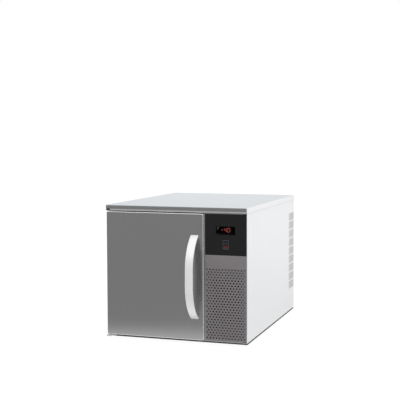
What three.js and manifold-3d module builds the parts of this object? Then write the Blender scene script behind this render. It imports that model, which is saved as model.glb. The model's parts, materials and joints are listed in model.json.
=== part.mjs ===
// A table-top blast chiller: an insulated chamber with a side-hinged door and a pull handle, beside a
// refrigeration compartment that stands behind a black control fascia and a perforated grille.
// Millimetres, +Z up, +X to the right and +Y to the rear as seen from the front.
// Inside the appliance group X = 0 is the middle of the cabinet, Y = 0 is the plane of the door's front
// face and Z = 0 is the surface that the feet stand on.
import * as THREE from "three";
import { mergeVertices } from "three/addons/utils/BufferGeometryUtils.js";
import Module from "manifold-3d";

const wasm = await Module();
wasm.setup();

// ---------------------------------------------------------------- driving dimensions

// Cabinet
const cabinetWidth = 560;
const cabinetDepth = 700;
const cabinetHeight = 514;
const footHeight = 14;
const baseHeight = 6;
const lidHeight = 20;
const lidHem = 16;
const lidEdgeRadius = 3;
const lidCornerRadius = 4;
const lidRollRadius = 5; // the front skirt's lower edge, rolled under
const lidRollStart = 18; // plain skirt left at the left corner
const sheet = 1.2; // folded stainless sheet
const thinSheet = 1; // liner and back panel
const seam = 0.3; // between pieces that touch
const panelFlange = 14; // return edges of the side panels
const baseInset = 1; // the base stands in from the sides
const baseFrontInset = 6;
const rearReveal = 1.2; // the lid reaches past the back panel

// Door
const doorThickness = 48;
const doorSideGap = 3;
const doorTopGap = 5;
const doorBottomGap = 0.5;
const doorEdgeRadius = 3;
const doorCornerRadius = 4;
const doorInnerThickness = 4;
const doorDishDepth = 1.6;
const hingeInset = 15; // hinge axis from the door's left edge
const hingeDepth = 20; // hinge axis behind the door's face
const hingePinRadius = 4;
const hingePinLength = 20;
const hingePlate = 3.2;
const hingeArmWidth = 39;
const bushRadius = 7;
const bushFlangeRadius = 9;
const bushFlange = 0.9;
const gasketWidth = 12;
const gasketDepth = 6;
const gasketLap = 2; // from the chamber's mouth to the gasket

// Handle: a flat bar that bows forward from two points of the door to a straight middle
const handleWidth = 30;
const handleThickness = 5;
const handleLength = 311;
const handleReach = 62;
const handleFlat = 60; // straight middle between the two bows
const handleEdgeGap = 19.1; // from the door's free edge
const handleBevel = 0.8;
const studRadius = 2.4;
const studHeadRadius = 6;
const studHeadDepth = 3.5;

// Chamber
const chamberCorner = 5;
const chamberLeftWall = 32; // from the cabinet's side
const chamberRightWall = 28.6; // from the control column
const chamberFloorWall = 36; // from the base
const chamberTopWall = 38; // from the lid
const chamberRearWall = 43.2; // from the back panel
const breakerDepth = 6;

// Tray racks
const rackLevels = 3;
const rackPitch = 80;
const rackFirstLevel = 66; // above the chamber floor
const rackShelf = 15;
const rackLip = 16;
const rackSheet = 1.6;
const rackPostWidth = 18;
const rackFront = 30; // behind the chamber mouth
const rackRearGap = 26; // in front of the fan baffle

// Chamber fan and evaporator
const baffleFromRear = 214; // in front of the chamber's rear wall
const baffleReturn = 12;
const baffleAirGap = 32;
const chamberFanRadius = 112;
const chamberFanClearance = 5;
const chamberFanWidth = 26;
const guardWire = 1.4;
const guardRings = 2;
const motorRadius = 30;
const motorLength = 46;
const motorShaftRadius = 4;
const motorCollar = 1.2;
const motorGap = 2; // between a rotor and its motor
const strapThickness = 2;
const strapWidth = 24;
const strapSideGap = 6; // from the compartment's walls
const bladeThickness = 1.6;
const fanHubRadius = 22;
const fanBlades = 5;
const evaporatorDepth = 54;
const evaporatorHeight = 290;
const evaporatorRear = 34; // clear of the chamber's rear wall
const evaporatorFins = 14;
const drainRadius = 9;
const drainBore = 6.4;
const drainFlange = 16;
const drainFromRear = 80;

// Control column
const columnWidth = 160.2;
const columnGap = 6; // between the door's free edge and the column
const frameStile = 4.2; // strip of the column's frame beside the fascia and the grille
const frameSill = 3.1; // strip of the frame below the grille
const frameFold = 12.5; // how far the stile's edge folds back
const hem = 1.2; // front edge of the right side panel, beside the fascia
const fasciaThickness = 2.7;
const fasciaHeight = 150.5;
const fasciaTopGap = 4;
const columnFlange = 14;
const displayWidth = 72.4;
const displayHeight = 29.8;
const displayLeft = 43.4; // from the column's left edge
const displayRise = 75.5; // above the fascia's lower edge
const displayDepth = 44;
const windowThickness = 2;
const keyCount = 4;
const keyWidth = 10;
const keyHeight = 3.4;
const keyProud = 0.5;
const keyTravel = 0.7;
const keyDepth = 5;
const keyPitch = 15;
const keyRise = 1.8; // above the display's lower edge
const switchWidth = 25;
const switchHeight = 34;
const switchLeft = 68.2;
const switchRise = 21.7; // above the fascia's lower edge
const switchBezel = 1.4;
const switchBody = 21;
const switchWall = 2.1; // beside the rocker
const switchEndWall = 3.6; // above and below the rocker
const rockerWidth = 18.4;
const rockerHalf = 12.1;
const rockerRise = 1.8;
const rockerReach = 6.2; // of its two crests in front of the axis
const rockerHeel = 5; // behind the axis
const rockerAxisY = 4;
const rockerPinRadius = 1.4;

// Perforated grille
const holeRadius = 2.5;
const holeSides = 4; // facets that stand in for each round hole
const holePitch = 12;
const holeRowPitch = 9.69;
const holeMargin = 5; // least metal beside the first and last columns
const firstHoleRise = 10.3; // above the grille's lower edge
const plainBand = 50.8; // least metal above the last row
const grilleReturn = 2.7;
const intakeWidth = 106;
const intakeHeight = 158;
const intakeRise = 68.3; // above the grille's lower edge
const intakeCollar = 9;

// Refrigeration compartment
const condenserDepth = 44;
const condenserMargin = 3; // past the intake on each side
const condenserFins = 12;
const condenserFanRadius = 60;
const condenserFanClearance = 4;
const condenserFanWidth = 20;
const shroudDepth = 22;
const compressorRadius = 58;
const compressorHeight = 165;
const compressorDepth = 330; // centre behind the door's face
const compressorSides = 18;
const mountHeight = 12;
const mountPlate = 2.5;
const mountPadRadius = 9;
const drierRadius = 9;
const drierLength = 80;
const drierCone = 10; // length of each tapered end
const drierGap = 8; // from the right side panel
const drierSetback = 60; // behind the fan's shroud
const drierRise = 10; // its foot above the condenser's
const pipeRadius = 3.2;
const pipeBend = 10; // room that a pipe takes to turn square
const liquidInset = 6; // the liquid pipe from the condenser's right end
const liquidSetback = 20; // and in front of the condenser's rear
const liquidDrop = 18; // its level run below the condenser's foot
const controlBoxDepth = 46;
const controlBoxFront = 66;
const controlBoxMargin = 24;

// Right side vents and back panel
const ventCount = 9;
const ventHeight = 31.7;
const ventPitch = 36.7;
const ventTopGap = 53.6; // below the lid
const ventLength = 84;
const ventRearMargin = 7;
const ventDrop = 6; // how far the pressed ramp goes in
const slotCount = 8;
const slotLength = 112;
const slotHeight = 6;
const slotPitch = 20;
const slotBottom = 130;
const inletWidth = 48;
const inletHeight = 26;
const inletSocketWidth = 26;
const inletSocketHeight = 18;
const inletBottom = 56;
const inletBody = 24;
const inletWall = 2;

// Feet
const footRadius = 18;
const footInsetX = 70;
const footInsetY = 80;
const footStudRadius = 4;

// ---------------------------------------------------------------- planes shared by mating pieces

const past = 2; // how far a cutting tool reaches past what it cuts
const left = -cabinetWidth / 2;
const right = cabinetWidth / 2;
const baseTop = footHeight + baseHeight;
const lidBottom = cabinetHeight - lidHeight;
const panelBottom = baseTop + seam;
const panelTop = lidBottom - seam;
const backRear = cabinetDepth - rearReveal;
const backFront = backRear - thinSheet;
const panelRear = backFront - seam;
const columnRight = right - hem;
const columnLeft = columnRight - columnWidth;
const doorLeft = left + doorSideGap;
const doorRight = columnLeft - columnGap;
const doorBottom = baseTop + doorBottomGap;
const doorTop = lidBottom - doorTopGap;
const doorPanDepth = doorThickness - doorInnerThickness;
const breakerFront = doorThickness + gasketDepth + seam;
const columnMiddle = (columnLeft + columnRight) / 2;
const flangeFront = fasciaThickness + seam;
const frameFront = flangeFront - seam - sheet;
const grilleBottom = panelBottom + frameSill + seam;
const chamberLeft = left + chamberLeftWall;
const chamberRight = columnLeft - chamberRightWall;
const chamberMiddle = (chamberLeft + chamberRight) / 2;
const chamberBottom = baseTop + chamberFloorWall;
const chamberTop = lidBottom - chamberTopWall;
const chamberCentre = (chamberBottom + chamberTop) / 2;
const chamberRear = panelRear - chamberRearWall;
const hingeX = doorLeft + hingeInset;
const hingeY = hingeDepth;
const handleRight = doorRight - handleEdgeGap;
const handleLeft = handleRight - handleWidth;
const handleMiddle = (doorBottom + doorTop) / 2;
const panFloor = footHeight + sheet;

// ---------------------------------------------------------------- finishes

const finish = (color, roughness, metalness) =>
  new THREE.MeshStandardMaterial({ color, roughness, metalness });
const finishes = {
  brushedSteel: finish(0x9a9b9d, 0.32, 1),
  satinSteel: finish(0xdfe1e4, 0.38, 1),
  whitePanel: finish(0xeceef2, 0.4, 0.2),
  handleMetal: finish(0xe4e5e9, 0.28, 1),
  blackFascia: finish(0x242424, 0.35, 0),
  greyGrille: finish(0x787375, 0.5, 0.1),
  darkBase: finish(0x2b2c2e, 0.6, 0.2),
  blackPlastic: finish(0x161616, 0.4, 0),
  window: finish(0x050506, 0.12, 0),
  rubber: finish(0x2a2a2b, 0.85, 0),
  foam: finish(0xe9dfb8, 0.9, 0),
  breaker: finish(0x5d6063, 0.55, 0),
  galvanised: finish(0xb4b8bb, 0.45, 0.9),
  finMetal: finish(0xc7cacc, 0.4, 0.9),
  blackEnamel: finish(0x141516, 0.35, 0.1),
  copper: finish(0xb87348, 0.3, 1),
  nylon: finish(0xd9d7cf, 0.5, 0),
};

// ---------------------------------------------------------------- modelling helpers

// A closed geometry as a solid that can be joined and cut.
function toSolid(geometry) {
  const plain = geometry.index ? geometry.toNonIndexed() : geometry.clone();
  for (const key of Object.keys(plain.attributes)) {
    if (key !== "position") plain.deleteAttribute(key);
  }
  const merged = mergeVertices(plain, 1e-4);
  return new wasm.Manifold(
    new wasm.Mesh({
      numProp: 3,
      vertProperties: merged.attributes.position.array,
      triVerts: new Uint32Array(merged.index.array),
    }),
  );
}

// A solid back as a flat-shaded geometry.
function toGeometry(solid) {
  const { vertProperties, triVerts } = solid.getMesh();
  const geometry = new THREE.BufferGeometry();
  geometry.setAttribute(
    "position",
    new THREE.BufferAttribute(new Float32Array(vertProperties), 3),
  );
  geometry.setIndex(new THREE.BufferAttribute(new Uint32Array(triVerts), 1));
  const flat = geometry.toNonIndexed();
  flat.computeVertexNormals();
  return flat;
}

const join = (...solids) => solids.reduce((a, b) => a.add(b));
const cut = (solid, ...tools) => tools.reduce((a, b) => a.subtract(b), solid);

function box([x0, x1], [y0, y1], [z0, z1]) {
  const geometry = new THREE.BoxGeometry(x1 - x0, y1 - y0, z1 - z0);
  geometry.translate((x0 + x1) / 2, (y0 + y1) / 2, (z0 + z1) / 2);
  return toSolid(geometry);
}

const axisX = new THREE.Vector3(1, 0, 0);
const axisY = new THREE.Vector3(0, 1, 0);
const axisZ = new THREE.Vector3(0, 0, 1);
// Where a drawing's own x, y and extrusion directions point in the cabinet.
const drawings = {
  plan: [axisX, axisY, axisZ],
  front: [axisX, axisZ, axisY.clone().negate()],
  side: [axisY, axisZ, axisX],
};

// A drawing extruded between two planes. A bevel rounds its edges inside the same outline and planes.
function extrude(shape, drawing, from, to, { bevel = 0, bevelSegments = 2, curveSegments = 2 } = {}) {
  const geometry = new THREE.ExtrudeGeometry(shape, {
    depth: to - from - 2 * bevel,
    bevelEnabled: bevel > 0,
    bevelSize: bevel,
    bevelOffset: -bevel,
    bevelThickness: bevel,
    bevelSegments,
    curveSegments,
  });
  geometry.translate(0, 0, (drawing === "front" ? -to : from) + bevel);
  geometry.applyMatrix4(new THREE.Matrix4().makeBasis(...drawings[drawing]));
  return toSolid(geometry);
}

function outline(points) {
  return new THREE.Shape(points.map(([x, y]) => new THREE.Vector2(x, y)));
}

function rectangle([x0, x1], [y0, y1], radius = 0) {
  if (radius === 0) {
    return outline([
      [x0, y0],
      [x1, y0],
      [x1, y1],
      [x0, y1],
    ]);
  }
  const shape = new THREE.Shape();
  shape.moveTo(x0 + radius, y0);
  shape.absarc(x1 - radius, y0 + radius, radius, -Math.PI / 2, 0, false);
  shape.absarc(x1 - radius, y1 - radius, radius, 0, Math.PI / 2, false);
  shape.absarc(x0 + radius, y1 - radius, radius, Math.PI / 2, Math.PI, false);
  shape.absarc(x0 + radius, y0 + radius, radius, Math.PI, 1.5 * Math.PI, false);
  return shape;
}

// A round bar along an axis, centred on the other two coordinates in their X, Y, Z order.
function rod(axis, radius, [from, to], [a, b], sides = 16) {
  const geometry = new THREE.CylinderGeometry(radius, radius, to - from, sides);
  const middle = (from + to) / 2;
  if (axis === "x") geometry.rotateZ(-Math.PI / 2).translate(middle, a, b);
  if (axis === "y") geometry.translate(a, middle, b);
  if (axis === "z") geometry.rotateX(Math.PI / 2).translate(a, b, middle);
  return toSolid(geometry);
}

// A profile of [radius, height] pairs turned about a vertical axis.
function turned(profile, [x, y], sides) {
  const points = profile.map(([r, z]) => new THREE.Vector2(r, z));
  const geometry = new THREE.LatheGeometry(points, sides);
  geometry.rotateX(Math.PI / 2).translate(x, y, 0);
  return toSolid(geometry);
}

// A bent pipe through points, with flat closed ends.
function pipe(points, radius, steps) {
  const section = new THREE.Shape();
  section.absarc(0, 0, radius, 0, 2 * Math.PI, false);
  const path = new THREE.CatmullRomCurve3(
    points.map((p) => new THREE.Vector3(...p)),
    false,
    "catmullrom",
    0.2,
  );
  const geometry = new THREE.ExtrudeGeometry(section, {
    steps,
    curveSegments: 3,
    bevelEnabled: false,
    extrudePath: path,
  });
  const solid = toSolid(geometry);
  return solid.volume() < 0 ? toSolid(flipped(geometry)) : solid;
}

function flipped(geometry) {
  const positions = geometry.toNonIndexed().attributes.position;
  const turnedRound = new Float32Array(positions.array.length);
  for (let i = 0; i < positions.count; i += 3) {
    [i, i + 2, i + 1].forEach((from, k) => {
      turnedRound.set(positions.array.subarray(3 * from, 3 * from + 3), 3 * (i + k));
    });
  }
  return new THREE.BufferGeometry().setAttribute(
    "position",
    new THREE.BufferAttribute(turnedRound, 3),
  );
}

const appliance = new THREE.Group();
appliance.name = "blast_chiller";
appliance.position.y = handleReach - (cabinetDepth + handleReach) / 2;

function assembly(name) {
  const group = new THREE.Group();
  group.name = name;
  appliance.add(group);
  return (pieceName, solid, material) => {
    const mesh = new THREE.Mesh(toGeometry(solid), material);
    mesh.name = pieceName;
    group.add(mesh);
  };
}

// ---------------------------------------------------------------- cabinet shell

// The lid is a tray of sheet turned over the cabinet, with rounded top edges and a returned hem. But
// for its left corner, the front skirt rolls under along its lower edge.
function worktopLid() {
  const whole = rectangle([left, right], [0, cabinetDepth], lidCornerRadius);
  const blank = extrude(whole, "plan", lidBottom - lidEdgeRadius, cabinetHeight, {
    bevel: lidEdgeRadius,
  });
  const inner = (inset) => [
    [left + inset, right - inset],
    [inset, cabinetDepth - inset],
  ];
  const corner = box(
    [left + lidRollStart, right - lidCornerRadius],
    [0, lidRollRadius],
    [lidBottom, lidBottom + lidRollRadius],
  );
  const rolled = (radius) =>
    rod("x", radius, [left, right], [lidRollRadius, lidBottom + lidRollRadius], 24);
  const square = cut(
    blank,
    box([left - past, right + past], [-past, cabinetDepth + past], [lidBottom - 2 * lidEdgeRadius, lidBottom]),
    box(...inner(sheet), [lidBottom + sheet, cabinetHeight - sheet]),
    box(...inner(lidHem), [lidBottom - past, lidBottom + 2 * sheet]),
    corner,
  );
  return join(square, cut(corner.intersect(rolled(lidRollRadius)), rolled(lidRollRadius - sheet)));
}

// A side panel is a shallow tray: its outer face with a return flange on every edge.
function sidePanelBlank(outer, inward, front) {
  const span = (a, b) => (inward > 0 ? [outer + a, outer + b] : [outer - b, outer - a]);
  return cut(
    box(span(0, panelFlange), [front, panelRear], [panelBottom, panelTop]),
    box(
      span(sheet, panelFlange + past),
      [front + sheet, panelRear - sheet],
      [panelBottom + sheet, panelTop - sheet],
    ),
  );
}

const leftSidePanel = () => sidePanelBlank(left, 1, breakerFront);

// One pressed vent: a ramp that rises to the panel's face towards the rear, with two cheeks and its
// mouth at the front end.
function ventTools(bottom) {
  const rear = panelRear - ventRearMargin;
  const front = rear - ventLength;
  const top = bottom + ventHeight;
  const deep = right - ventDrop;
  const ramp = outline([
    [deep, front],
    [right, rear],
    [right - sheet, rear],
    [deep - sheet, front],
  ]);
  const cheek = outline([
    [deep, front],
    [right, front],
    [right, rear],
  ]);
  return {
    opening: box([right - sheet - past, right + past], [front, rear], [bottom, top]),
    pressed: join(
      extrude(ramp, "plan", bottom, top),
      extrude(cheek, "plan", bottom, bottom + sheet),
      extrude(cheek, "plan", top - sheet, top),
    ),
  };
}

// The right side panel's face runs to the front past its flange, which steps back to carry the
// fascia and the grille.
function rightSidePanel() {
  const blank = sidePanelBlank(right, -1, flangeFront);
  const frontEdge = box([right - hem + seam, right], [0, flangeFront + sheet], [panelBottom, panelTop]);
  let panel = join(blank, frontEdge);
  for (let i = 0; i < ventCount; i += 1) {
    const vent = ventTools(lidBottom - ventTopGap - ventHeight - i * ventPitch);
    panel = join(cut(panel, vent.opening), vent.pressed);
  }
  return panel;
}

// The back panel closes the shell, with outlet slots for the condenser air and the inlet's cut-out.
function backPanel() {
  const slots = [];
  for (let i = 0; i < slotCount; i += 1) {
    const z = slotBottom + i * slotPitch;
    const slot = rectangle(
      [columnMiddle - slotLength / 2, columnMiddle + slotLength / 2],
      [z, z + slotHeight],
      slotHeight / 2 - 0.01,
    );
    slots.push(extrude(slot, "front", backFront - past, backRear + past, { curveSegments: 1 }));
  }
  return cut(
    box([left + sheet, right - sheet], [backFront, backRear], [panelBottom, panelTop]),
    ...slots,
    inletSocket(seam, backFront - past, backRear + past),
  );
}

const footPlaces = {
  front_left: [left + footInsetX, footInsetY],
  front_right: [right - footInsetX, footInsetY],
  rear_left: [left + footInsetX, cabinetDepth - footInsetY],
  rear_right: [right - footInsetX, cabinetDepth - footInsetY],
};

// The base is a dark shallow pan that stands in from the panels, notched for the lower hinge.
function basePan() {
  const x = [left + baseInset, right - baseInset];
  const y = [baseFrontInset, cabinetDepth - baseFrontInset];
  const within = ([a, b]) => [a + sheet, b - sheet];
  const studHoles = Object.values(footPlaces).map((place) =>
    rod("z", footStudRadius + seam, [footHeight - past, panFloor + past], place, 12),
  );
  return cut(
    box(x, y, [footHeight, baseTop]),
    box(within(x), within(y), [panFloor, baseTop + past]),
    box(
      [left - past, left + hingeArmWidth + 2 * seam],
      [-past, lowerHingeRear + seam],
      [panFloor, baseTop + past],
    ),
    rod("z", drainRadius + seam, [footHeight - past, panFloor + past], drainPlace, 12),
    ...studHoles,
  );
}

function foot(place) {
  return turned(
    [
      [0, 0],
      [footRadius - 2, 0],
      [footRadius, 2],
      [footRadius - 3, footHeight - seam],
      [footStudRadius, footHeight - seam],
      [footStudRadius, footHeight + 4],
      [0, footHeight + 4],
    ],
    place,
    12,
  );
}

// The partition divides the chamber from the refrigeration compartment, and its front flange
// carries the left edges of the fascia and the grille.
function partitionPanel() {
  const outer = [columnLeft, columnLeft + columnFlange];
  return cut(
    box(outer, [flangeFront, panelRear], [panelBottom, panelTop]),
    box(
      [columnLeft + sheet, columnLeft + columnFlange + past],
      [flangeFront + sheet, panelRear - sheet],
      [panelBottom - past, panelTop + past],
    ),
    suctionHole(),
  );
}

function buildCabinet() {
  const add = assembly("cabinet");
  add("worktop_lid", worktopLid(), finishes.satinSteel);
  add("left_side_panel", leftSidePanel(), finishes.whitePanel);
  add("right_side_panel", rightSidePanel(), finishes.whitePanel);
  add("back_panel", backPanel(), finishes.galvanised);
  add("base_pan", basePan(), finishes.darkBase);
  add("partition_panel", partitionPanel(), finishes.satinSteel);
  for (const [corner, place] of Object.entries(footPlaces)) {
    add(`foot_${corner}`, foot(place), finishes.rubber);
  }
}

// ---------------------------------------------------------------- chamber

const mouth = (grow) =>
  rectangle(
    [chamberLeft - grow, chamberRight + grow],
    [chamberBottom - grow, chamberTop + grow],
    chamberCorner + grow,
  );
const baffleFront = chamberRear - baffleFromRear;
const drainPlace = [chamberMiddle, chamberRear - drainFromRear];
const suctionPlace = [chamberRear - evaporatorRear - evaporatorDepth / 2, chamberCentre];

// Where the suction pipe crosses the foam and the partition.
const suctionHole = () =>
  rod("x", pipeRadius + 2 * seam, [chamberRight, columnLeft + columnFlange], suctionPlace, 12);

const linerBlock = (grow) =>
  extrude(mouth(thinSheet + grow), "front", breakerFront - grow, chamberRear + thinSheet + grow);

// The liner is a seamless box with rounded corners, open at the front.
function chamberLiner() {
  return cut(
    linerBlock(0),
    extrude(mouth(0), "front", breakerFront - past, chamberRear),
    rod("z", drainRadius + seam, [chamberBottom - 2 * thinSheet, chamberBottom + past], drainPlace, 12),
  );
}

// The breaker frame keeps the cold liner from touching the shell, and the door gasket seals on it.
function breakerFrame() {
  const frame = rectangle([left + panelFlange + seam, columnLeft - seam], [panelBottom, panelTop]);
  return cut(
    extrude(frame, "front", breakerFront, breakerFront + breakerDepth),
    extrude(mouth(thinSheet + seam), "front", breakerFront - past, breakerFront + breakerDepth + past),
  );
}

function insulationFoam() {
  return cut(
    box(
      [left + sheet + seam, columnLeft - seam],
      [breakerFront + breakerDepth + seam, panelRear - sheet - seam],
      [panelBottom + sheet + seam, panelTop - sheet - seam],
    ),
    linerBlock(seam),
    rod("z", drainRadius + seam, [panelBottom, chamberBottom], drainPlace, 12),
    suctionHole(),
  );
}

// A rack hangs flat on the side wall: two posts that carry the runners for the trays.
function trayRack(wall, inward) {
  const span = (a, b) => (inward > 0 ? [wall + a, wall + b] : [wall - b, wall - a]);
  const y0 = breakerFront + rackFront;
  const y1 = baffleFront - rackRearGap;
  const levels = Array.from(
    { length: rackLevels },
    (_, i) => chamberBottom + rackFirstLevel + i * rackPitch,
  );
  const postBottom = levels[0] - rackLip;
  const postTop = levels[rackLevels - 1] + rackPitch / 2;
  const posts = [y0 + rackPostWidth, y1 - 2 * rackPostWidth].map((y) =>
    box(span(seam, seam + 2 * rackSheet), [y, y + rackPostWidth], [postBottom, postTop]),
  );
  const runners = levels.map((z) => {
    const [wallSide, lip] = [seam + rackSheet / 2, seam + 1.5 * rackSheet];
    const profile = [
      [wallSide, z],
      [seam + rackShelf, z],
      [seam + rackShelf, z + rackSheet],
      [lip, z + rackSheet],
      [lip, z + rackLip],
      [wallSide, z + rackLip],
    ].map(([offset, height]) => [wall + inward * offset, height]);
    return extrude(outline(inward > 0 ? profile : profile.reverse()), "front", y0, y1);
  });
  return join(...posts, ...runners);
}

const fanCentre = [chamberMiddle, chamberCentre];

// The baffle is a folded sheet across the chamber with the fan's round opening.
function fanBaffle() {
  const x = [chamberLeft + seam, chamberRight - seam];
  const z = [chamberBottom + baffleAirGap, chamberTop - baffleAirGap];
  return cut(
    box(x, [baffleFront, baffleFront + baffleReturn], z),
    box([x[0] + sheet, x[1] - sheet], [baffleFront + sheet, baffleFront + baffleReturn + past], [
      z[0] - past,
      z[1] + past,
    ]),
    rod(
      "y",
      chamberFanRadius + chamberFanClearance,
      [baffleFront - past, baffleFront + sheet + past],
      fanCentre,
      28,
    ),
  );
}

// The guard is concentric wire rings on a cross of two wires, in front of the fan's opening.
function fanGuard() {
  const reach = chamberFanRadius + 3 * chamberFanClearance;
  const y = baffleFront - seam - guardWire;
  const [x, z] = fanCentre;
  const rings = Array.from({ length: guardRings }, (_, i) => {
    const radius = (reach * (i + 1)) / guardRings - guardWire;
    const ring = new THREE.TorusGeometry(radius, guardWire, 3, 20);
    ring.rotateX(Math.PI / 2).translate(x, y, z);
    return toSolid(ring);
  });
  return join(
    ...rings,
    rod("x", guardWire, [x - reach, x + reach], [y, z], 4),
    rod("z", guardWire, [z - reach, z + reach], [x, y], 4),
  );
}

// An axial rotor: a hub with pitched blades, bored for the motor shaft.
function fanRotor(radius, width, [x, z], front) {
  const hub = rod("y", fanHubRadius, [-width / 2, width / 2], [0, 0], 15);
  const blade = new THREE.Shape();
  const rootHalf = fanHubRadius * 0.55;
  const tipHalf = radius * 0.34;
  blade.moveTo(-rootHalf, fanHubRadius * 0.6);
  blade.lineTo(rootHalf, fanHubRadius * 0.6);
  blade.quadraticCurveTo(tipHalf * 1.1, radius * 0.7, tipHalf, radius * 0.94);
  blade.quadraticCurveTo(0, radius * 1.03, -tipHalf, radius * 0.9);
  blade.quadraticCurveTo(-tipHalf * 0.7, radius * 0.6, -rootHalf, fanHubRadius * 0.6);
  const blades = Array.from({ length: fanBlades }, (_, i) => {
    const geometry = new THREE.ExtrudeGeometry(blade, {
      depth: bladeThickness,
      bevelEnabled: false,
      curveSegments: 2,
    });
    const pitch = Math.asin((width * 0.42) / tipHalf);
    geometry
      .translate(0, 0, -bladeThickness / 2)
      .rotateY(pitch)
      .rotateX(Math.PI / 2)
      .rotateY((2 * Math.PI * i) / fanBlades);
    return toSolid(geometry);
  });
  const rotor = cut(
    join(hub, ...blades),
    rod("y", motorShaftRadius + seam, [-width, width], [0, 0], 8),
  );
  return rotor.translate([x, front + width / 2, z]);
}

// A can motor with its shaft reaching forward through the rotor's hub.
function fanMotor([x, z], rotorFront, rotorWidth) {
  const front = rotorFront + rotorWidth + motorGap;
  return join(
    rod("y", motorRadius, [front, front + motorLength], [x, z], 16),
    rod("y", motorShaftRadius * 2, [front - motorCollar, front], [x, z], 8),
    rod("y", motorShaftRadius, [rotorFront + 1, front], [x, z], 8),
  );
}

// A strap behind the motor whose two legs stand on the plate in front of it.
function motorStrap([x, z], half, plateRear, rotorFront, rotorWidth) {
  const front = rotorFront + rotorWidth + motorGap + motorLength + seam;
  const rear = front + strapThickness;
  const height = [z - strapWidth / 2, z + strapWidth / 2];
  return join(
    box([x - half, x - half + strapThickness], [plateRear + seam, rear], height),
    box([x + half - strapThickness, x + half], [plateRear + seam, rear], height),
    box([x - half, x + half], [front, rear], height),
  );
}

// A finned coil: plates that stand forward of a solid core between two end plates.
function finnedCoil([x0, x1], [y0, y1], [z0, z1], fins) {
  const pitch = (x1 - x0) / fins;
  const core = y0 + (y1 - y0) * 0.45;
  const points = [
    [x1, y1],
    [x0, y1],
  ];
  for (let i = 0; i < fins; i += 1) {
    const x = x0 + i * pitch;
    points.push([x, y0], [x + pitch * 0.4, y0]);
    if (i < fins - 1) points.push([x + pitch * 0.4, core], [x + pitch, core]);
  }
  const last = x0 + (fins - 0.6) * pitch;
  points.push([last, core], [x1 - pitch * 0.4, core], [x1 - pitch * 0.4, y0], [x1, y0]);
  return extrude(outline(points), "plan", z0, z1);
}

const chamberRotorFront = baffleFront + sheet + 3;

function evaporatorCoil() {
  const y1 = chamberRear - evaporatorRear;
  return finnedCoil(
    [chamberLeft + seam, chamberRight - seam],
    [y1 - evaporatorDepth, y1],
    [chamberCentre - evaporatorHeight / 2, chamberCentre + evaporatorHeight / 2],
    evaporatorFins,
  );
}

// The drain takes meltwater from the chamber floor down through the base.
function drainTube() {
  const floor = chamberBottom + seam;
  return turned(
    [
      [drainBore, footHeight + 0.5],
      [drainRadius, footHeight + 0.5],
      [drainRadius, floor],
      [drainFlange, floor],
      [drainFlange, floor + 1],
      [drainBore, floor + 1],
      [drainBore, footHeight + 0.5],
    ],
    drainPlace,
    12,
  );
}

function buildChamber() {
  const add = assembly("chamber");
  add("chamber_liner", chamberLiner(), finishes.satinSteel);
  add("breaker_frame", breakerFrame(), finishes.breaker);
  add("insulation_foam", insulationFoam(), finishes.foam);
  add("tray_rack_left", trayRack(chamberLeft, 1), finishes.satinSteel);
  add("tray_rack_right", trayRack(chamberRight, -1), finishes.satinSteel);
  add("chamber_fan_baffle", fanBaffle(), finishes.satinSteel);
  add("chamber_fan_guard", fanGuard(), finishes.satinSteel);
  add(
    "chamber_fan_rotor",
    fanRotor(chamberFanRadius, chamberFanWidth, fanCentre, chamberRotorFront),
    finishes.blackPlastic,
  );
  add(
    "chamber_fan_motor",
    fanMotor(fanCentre, chamberRotorFront, chamberFanWidth),
    finishes.blackEnamel,
  );
  add(
    "chamber_fan_strap",
    motorStrap(
      fanCentre,
      chamberFanRadius + 3 * chamberFanClearance,
      baffleFront + sheet,
      chamberRotorFront,
      chamberFanWidth,
    ),
    finishes.galvanised,
  );
  add("evaporator_coil", evaporatorCoil(), finishes.finMetal);
  add("drain_tube", drainTube(), finishes.nylon);
}

// ---------------------------------------------------------------- door and hinges

const lowerHingeRear = 110;
const lowerPlateBottom = panFloor + seam;
const lowerPlateTop = lowerPlateBottom + hingePlate;
const upperPlateTop = panelTop;
const upperPlateBottom = upperPlateTop - hingePlate;
const hingePlace = [hingeX, hingeY];

// Lower hinge bracket: a plate on the base pan with a front lip that shows below the door.
function lowerHingeBracket() {
  const x = [left + seam, left + hingeArmWidth];
  const lip = [left + seam, hingeX];
  return cut(
    join(
      box(x, [baseFrontInset - 2, lowerHingeRear], [lowerPlateBottom, lowerPlateTop]),
      box(lip, [baseFrontInset - 4.5, baseFrontInset - 1], [footHeight - 3, lowerPlateTop]),
    ),
    rod("z", hingePinRadius + seam, [lowerPlateBottom - past, lowerPlateTop + past], hingePlace),
  );
}

// Upper hinge bracket: a plate under the lid's hem that reaches over the top of the door.
function upperHingeBracket() {
  return cut(
    box(
      [left + seam, left + hingeArmWidth],
      [baseFrontInset, breakerFront - seam],
      [upperPlateBottom, upperPlateTop],
    ),
    rod("z", hingePinRadius + seam, [upperPlateBottom - past, upperPlateTop + past], hingePlace),
  );
}

const pin = ([from, to]) =>
  turned(
    [
      [0, from],
      [hingePinRadius, from],
      [hingePinRadius, to],
      [0, to],
    ],
    hingePlace,
    16,
  );
const lowerPinSpan = [lowerPlateBottom, doorBottom + hingePinLength - 4];
const upperPinSpan = [doorTop - hingePinLength + 4, upperPlateTop];

// A flanged bush in the door's end, open towards the pin.
function bush(face, inward) {
  const outside = face - inward * bushFlange;
  const inside = face + inward * hingePinLength;
  const bore = hingePinRadius + seam;
  const profile = [
    [bore, outside],
    [bushFlangeRadius, outside],
    [bushFlangeRadius, face],
    [bushRadius, face],
    [bushRadius, inside],
    [bore, inside],
    [bore, outside],
  ];
  return turned(inward > 0 ? profile : profile.reverse(), hingePlace, 12);
}

const bushPocket = (from, to) => rod("z", bushRadius + seam, [from, to], hingePlace, 12);
const bushFlangeGap = seam;

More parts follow.
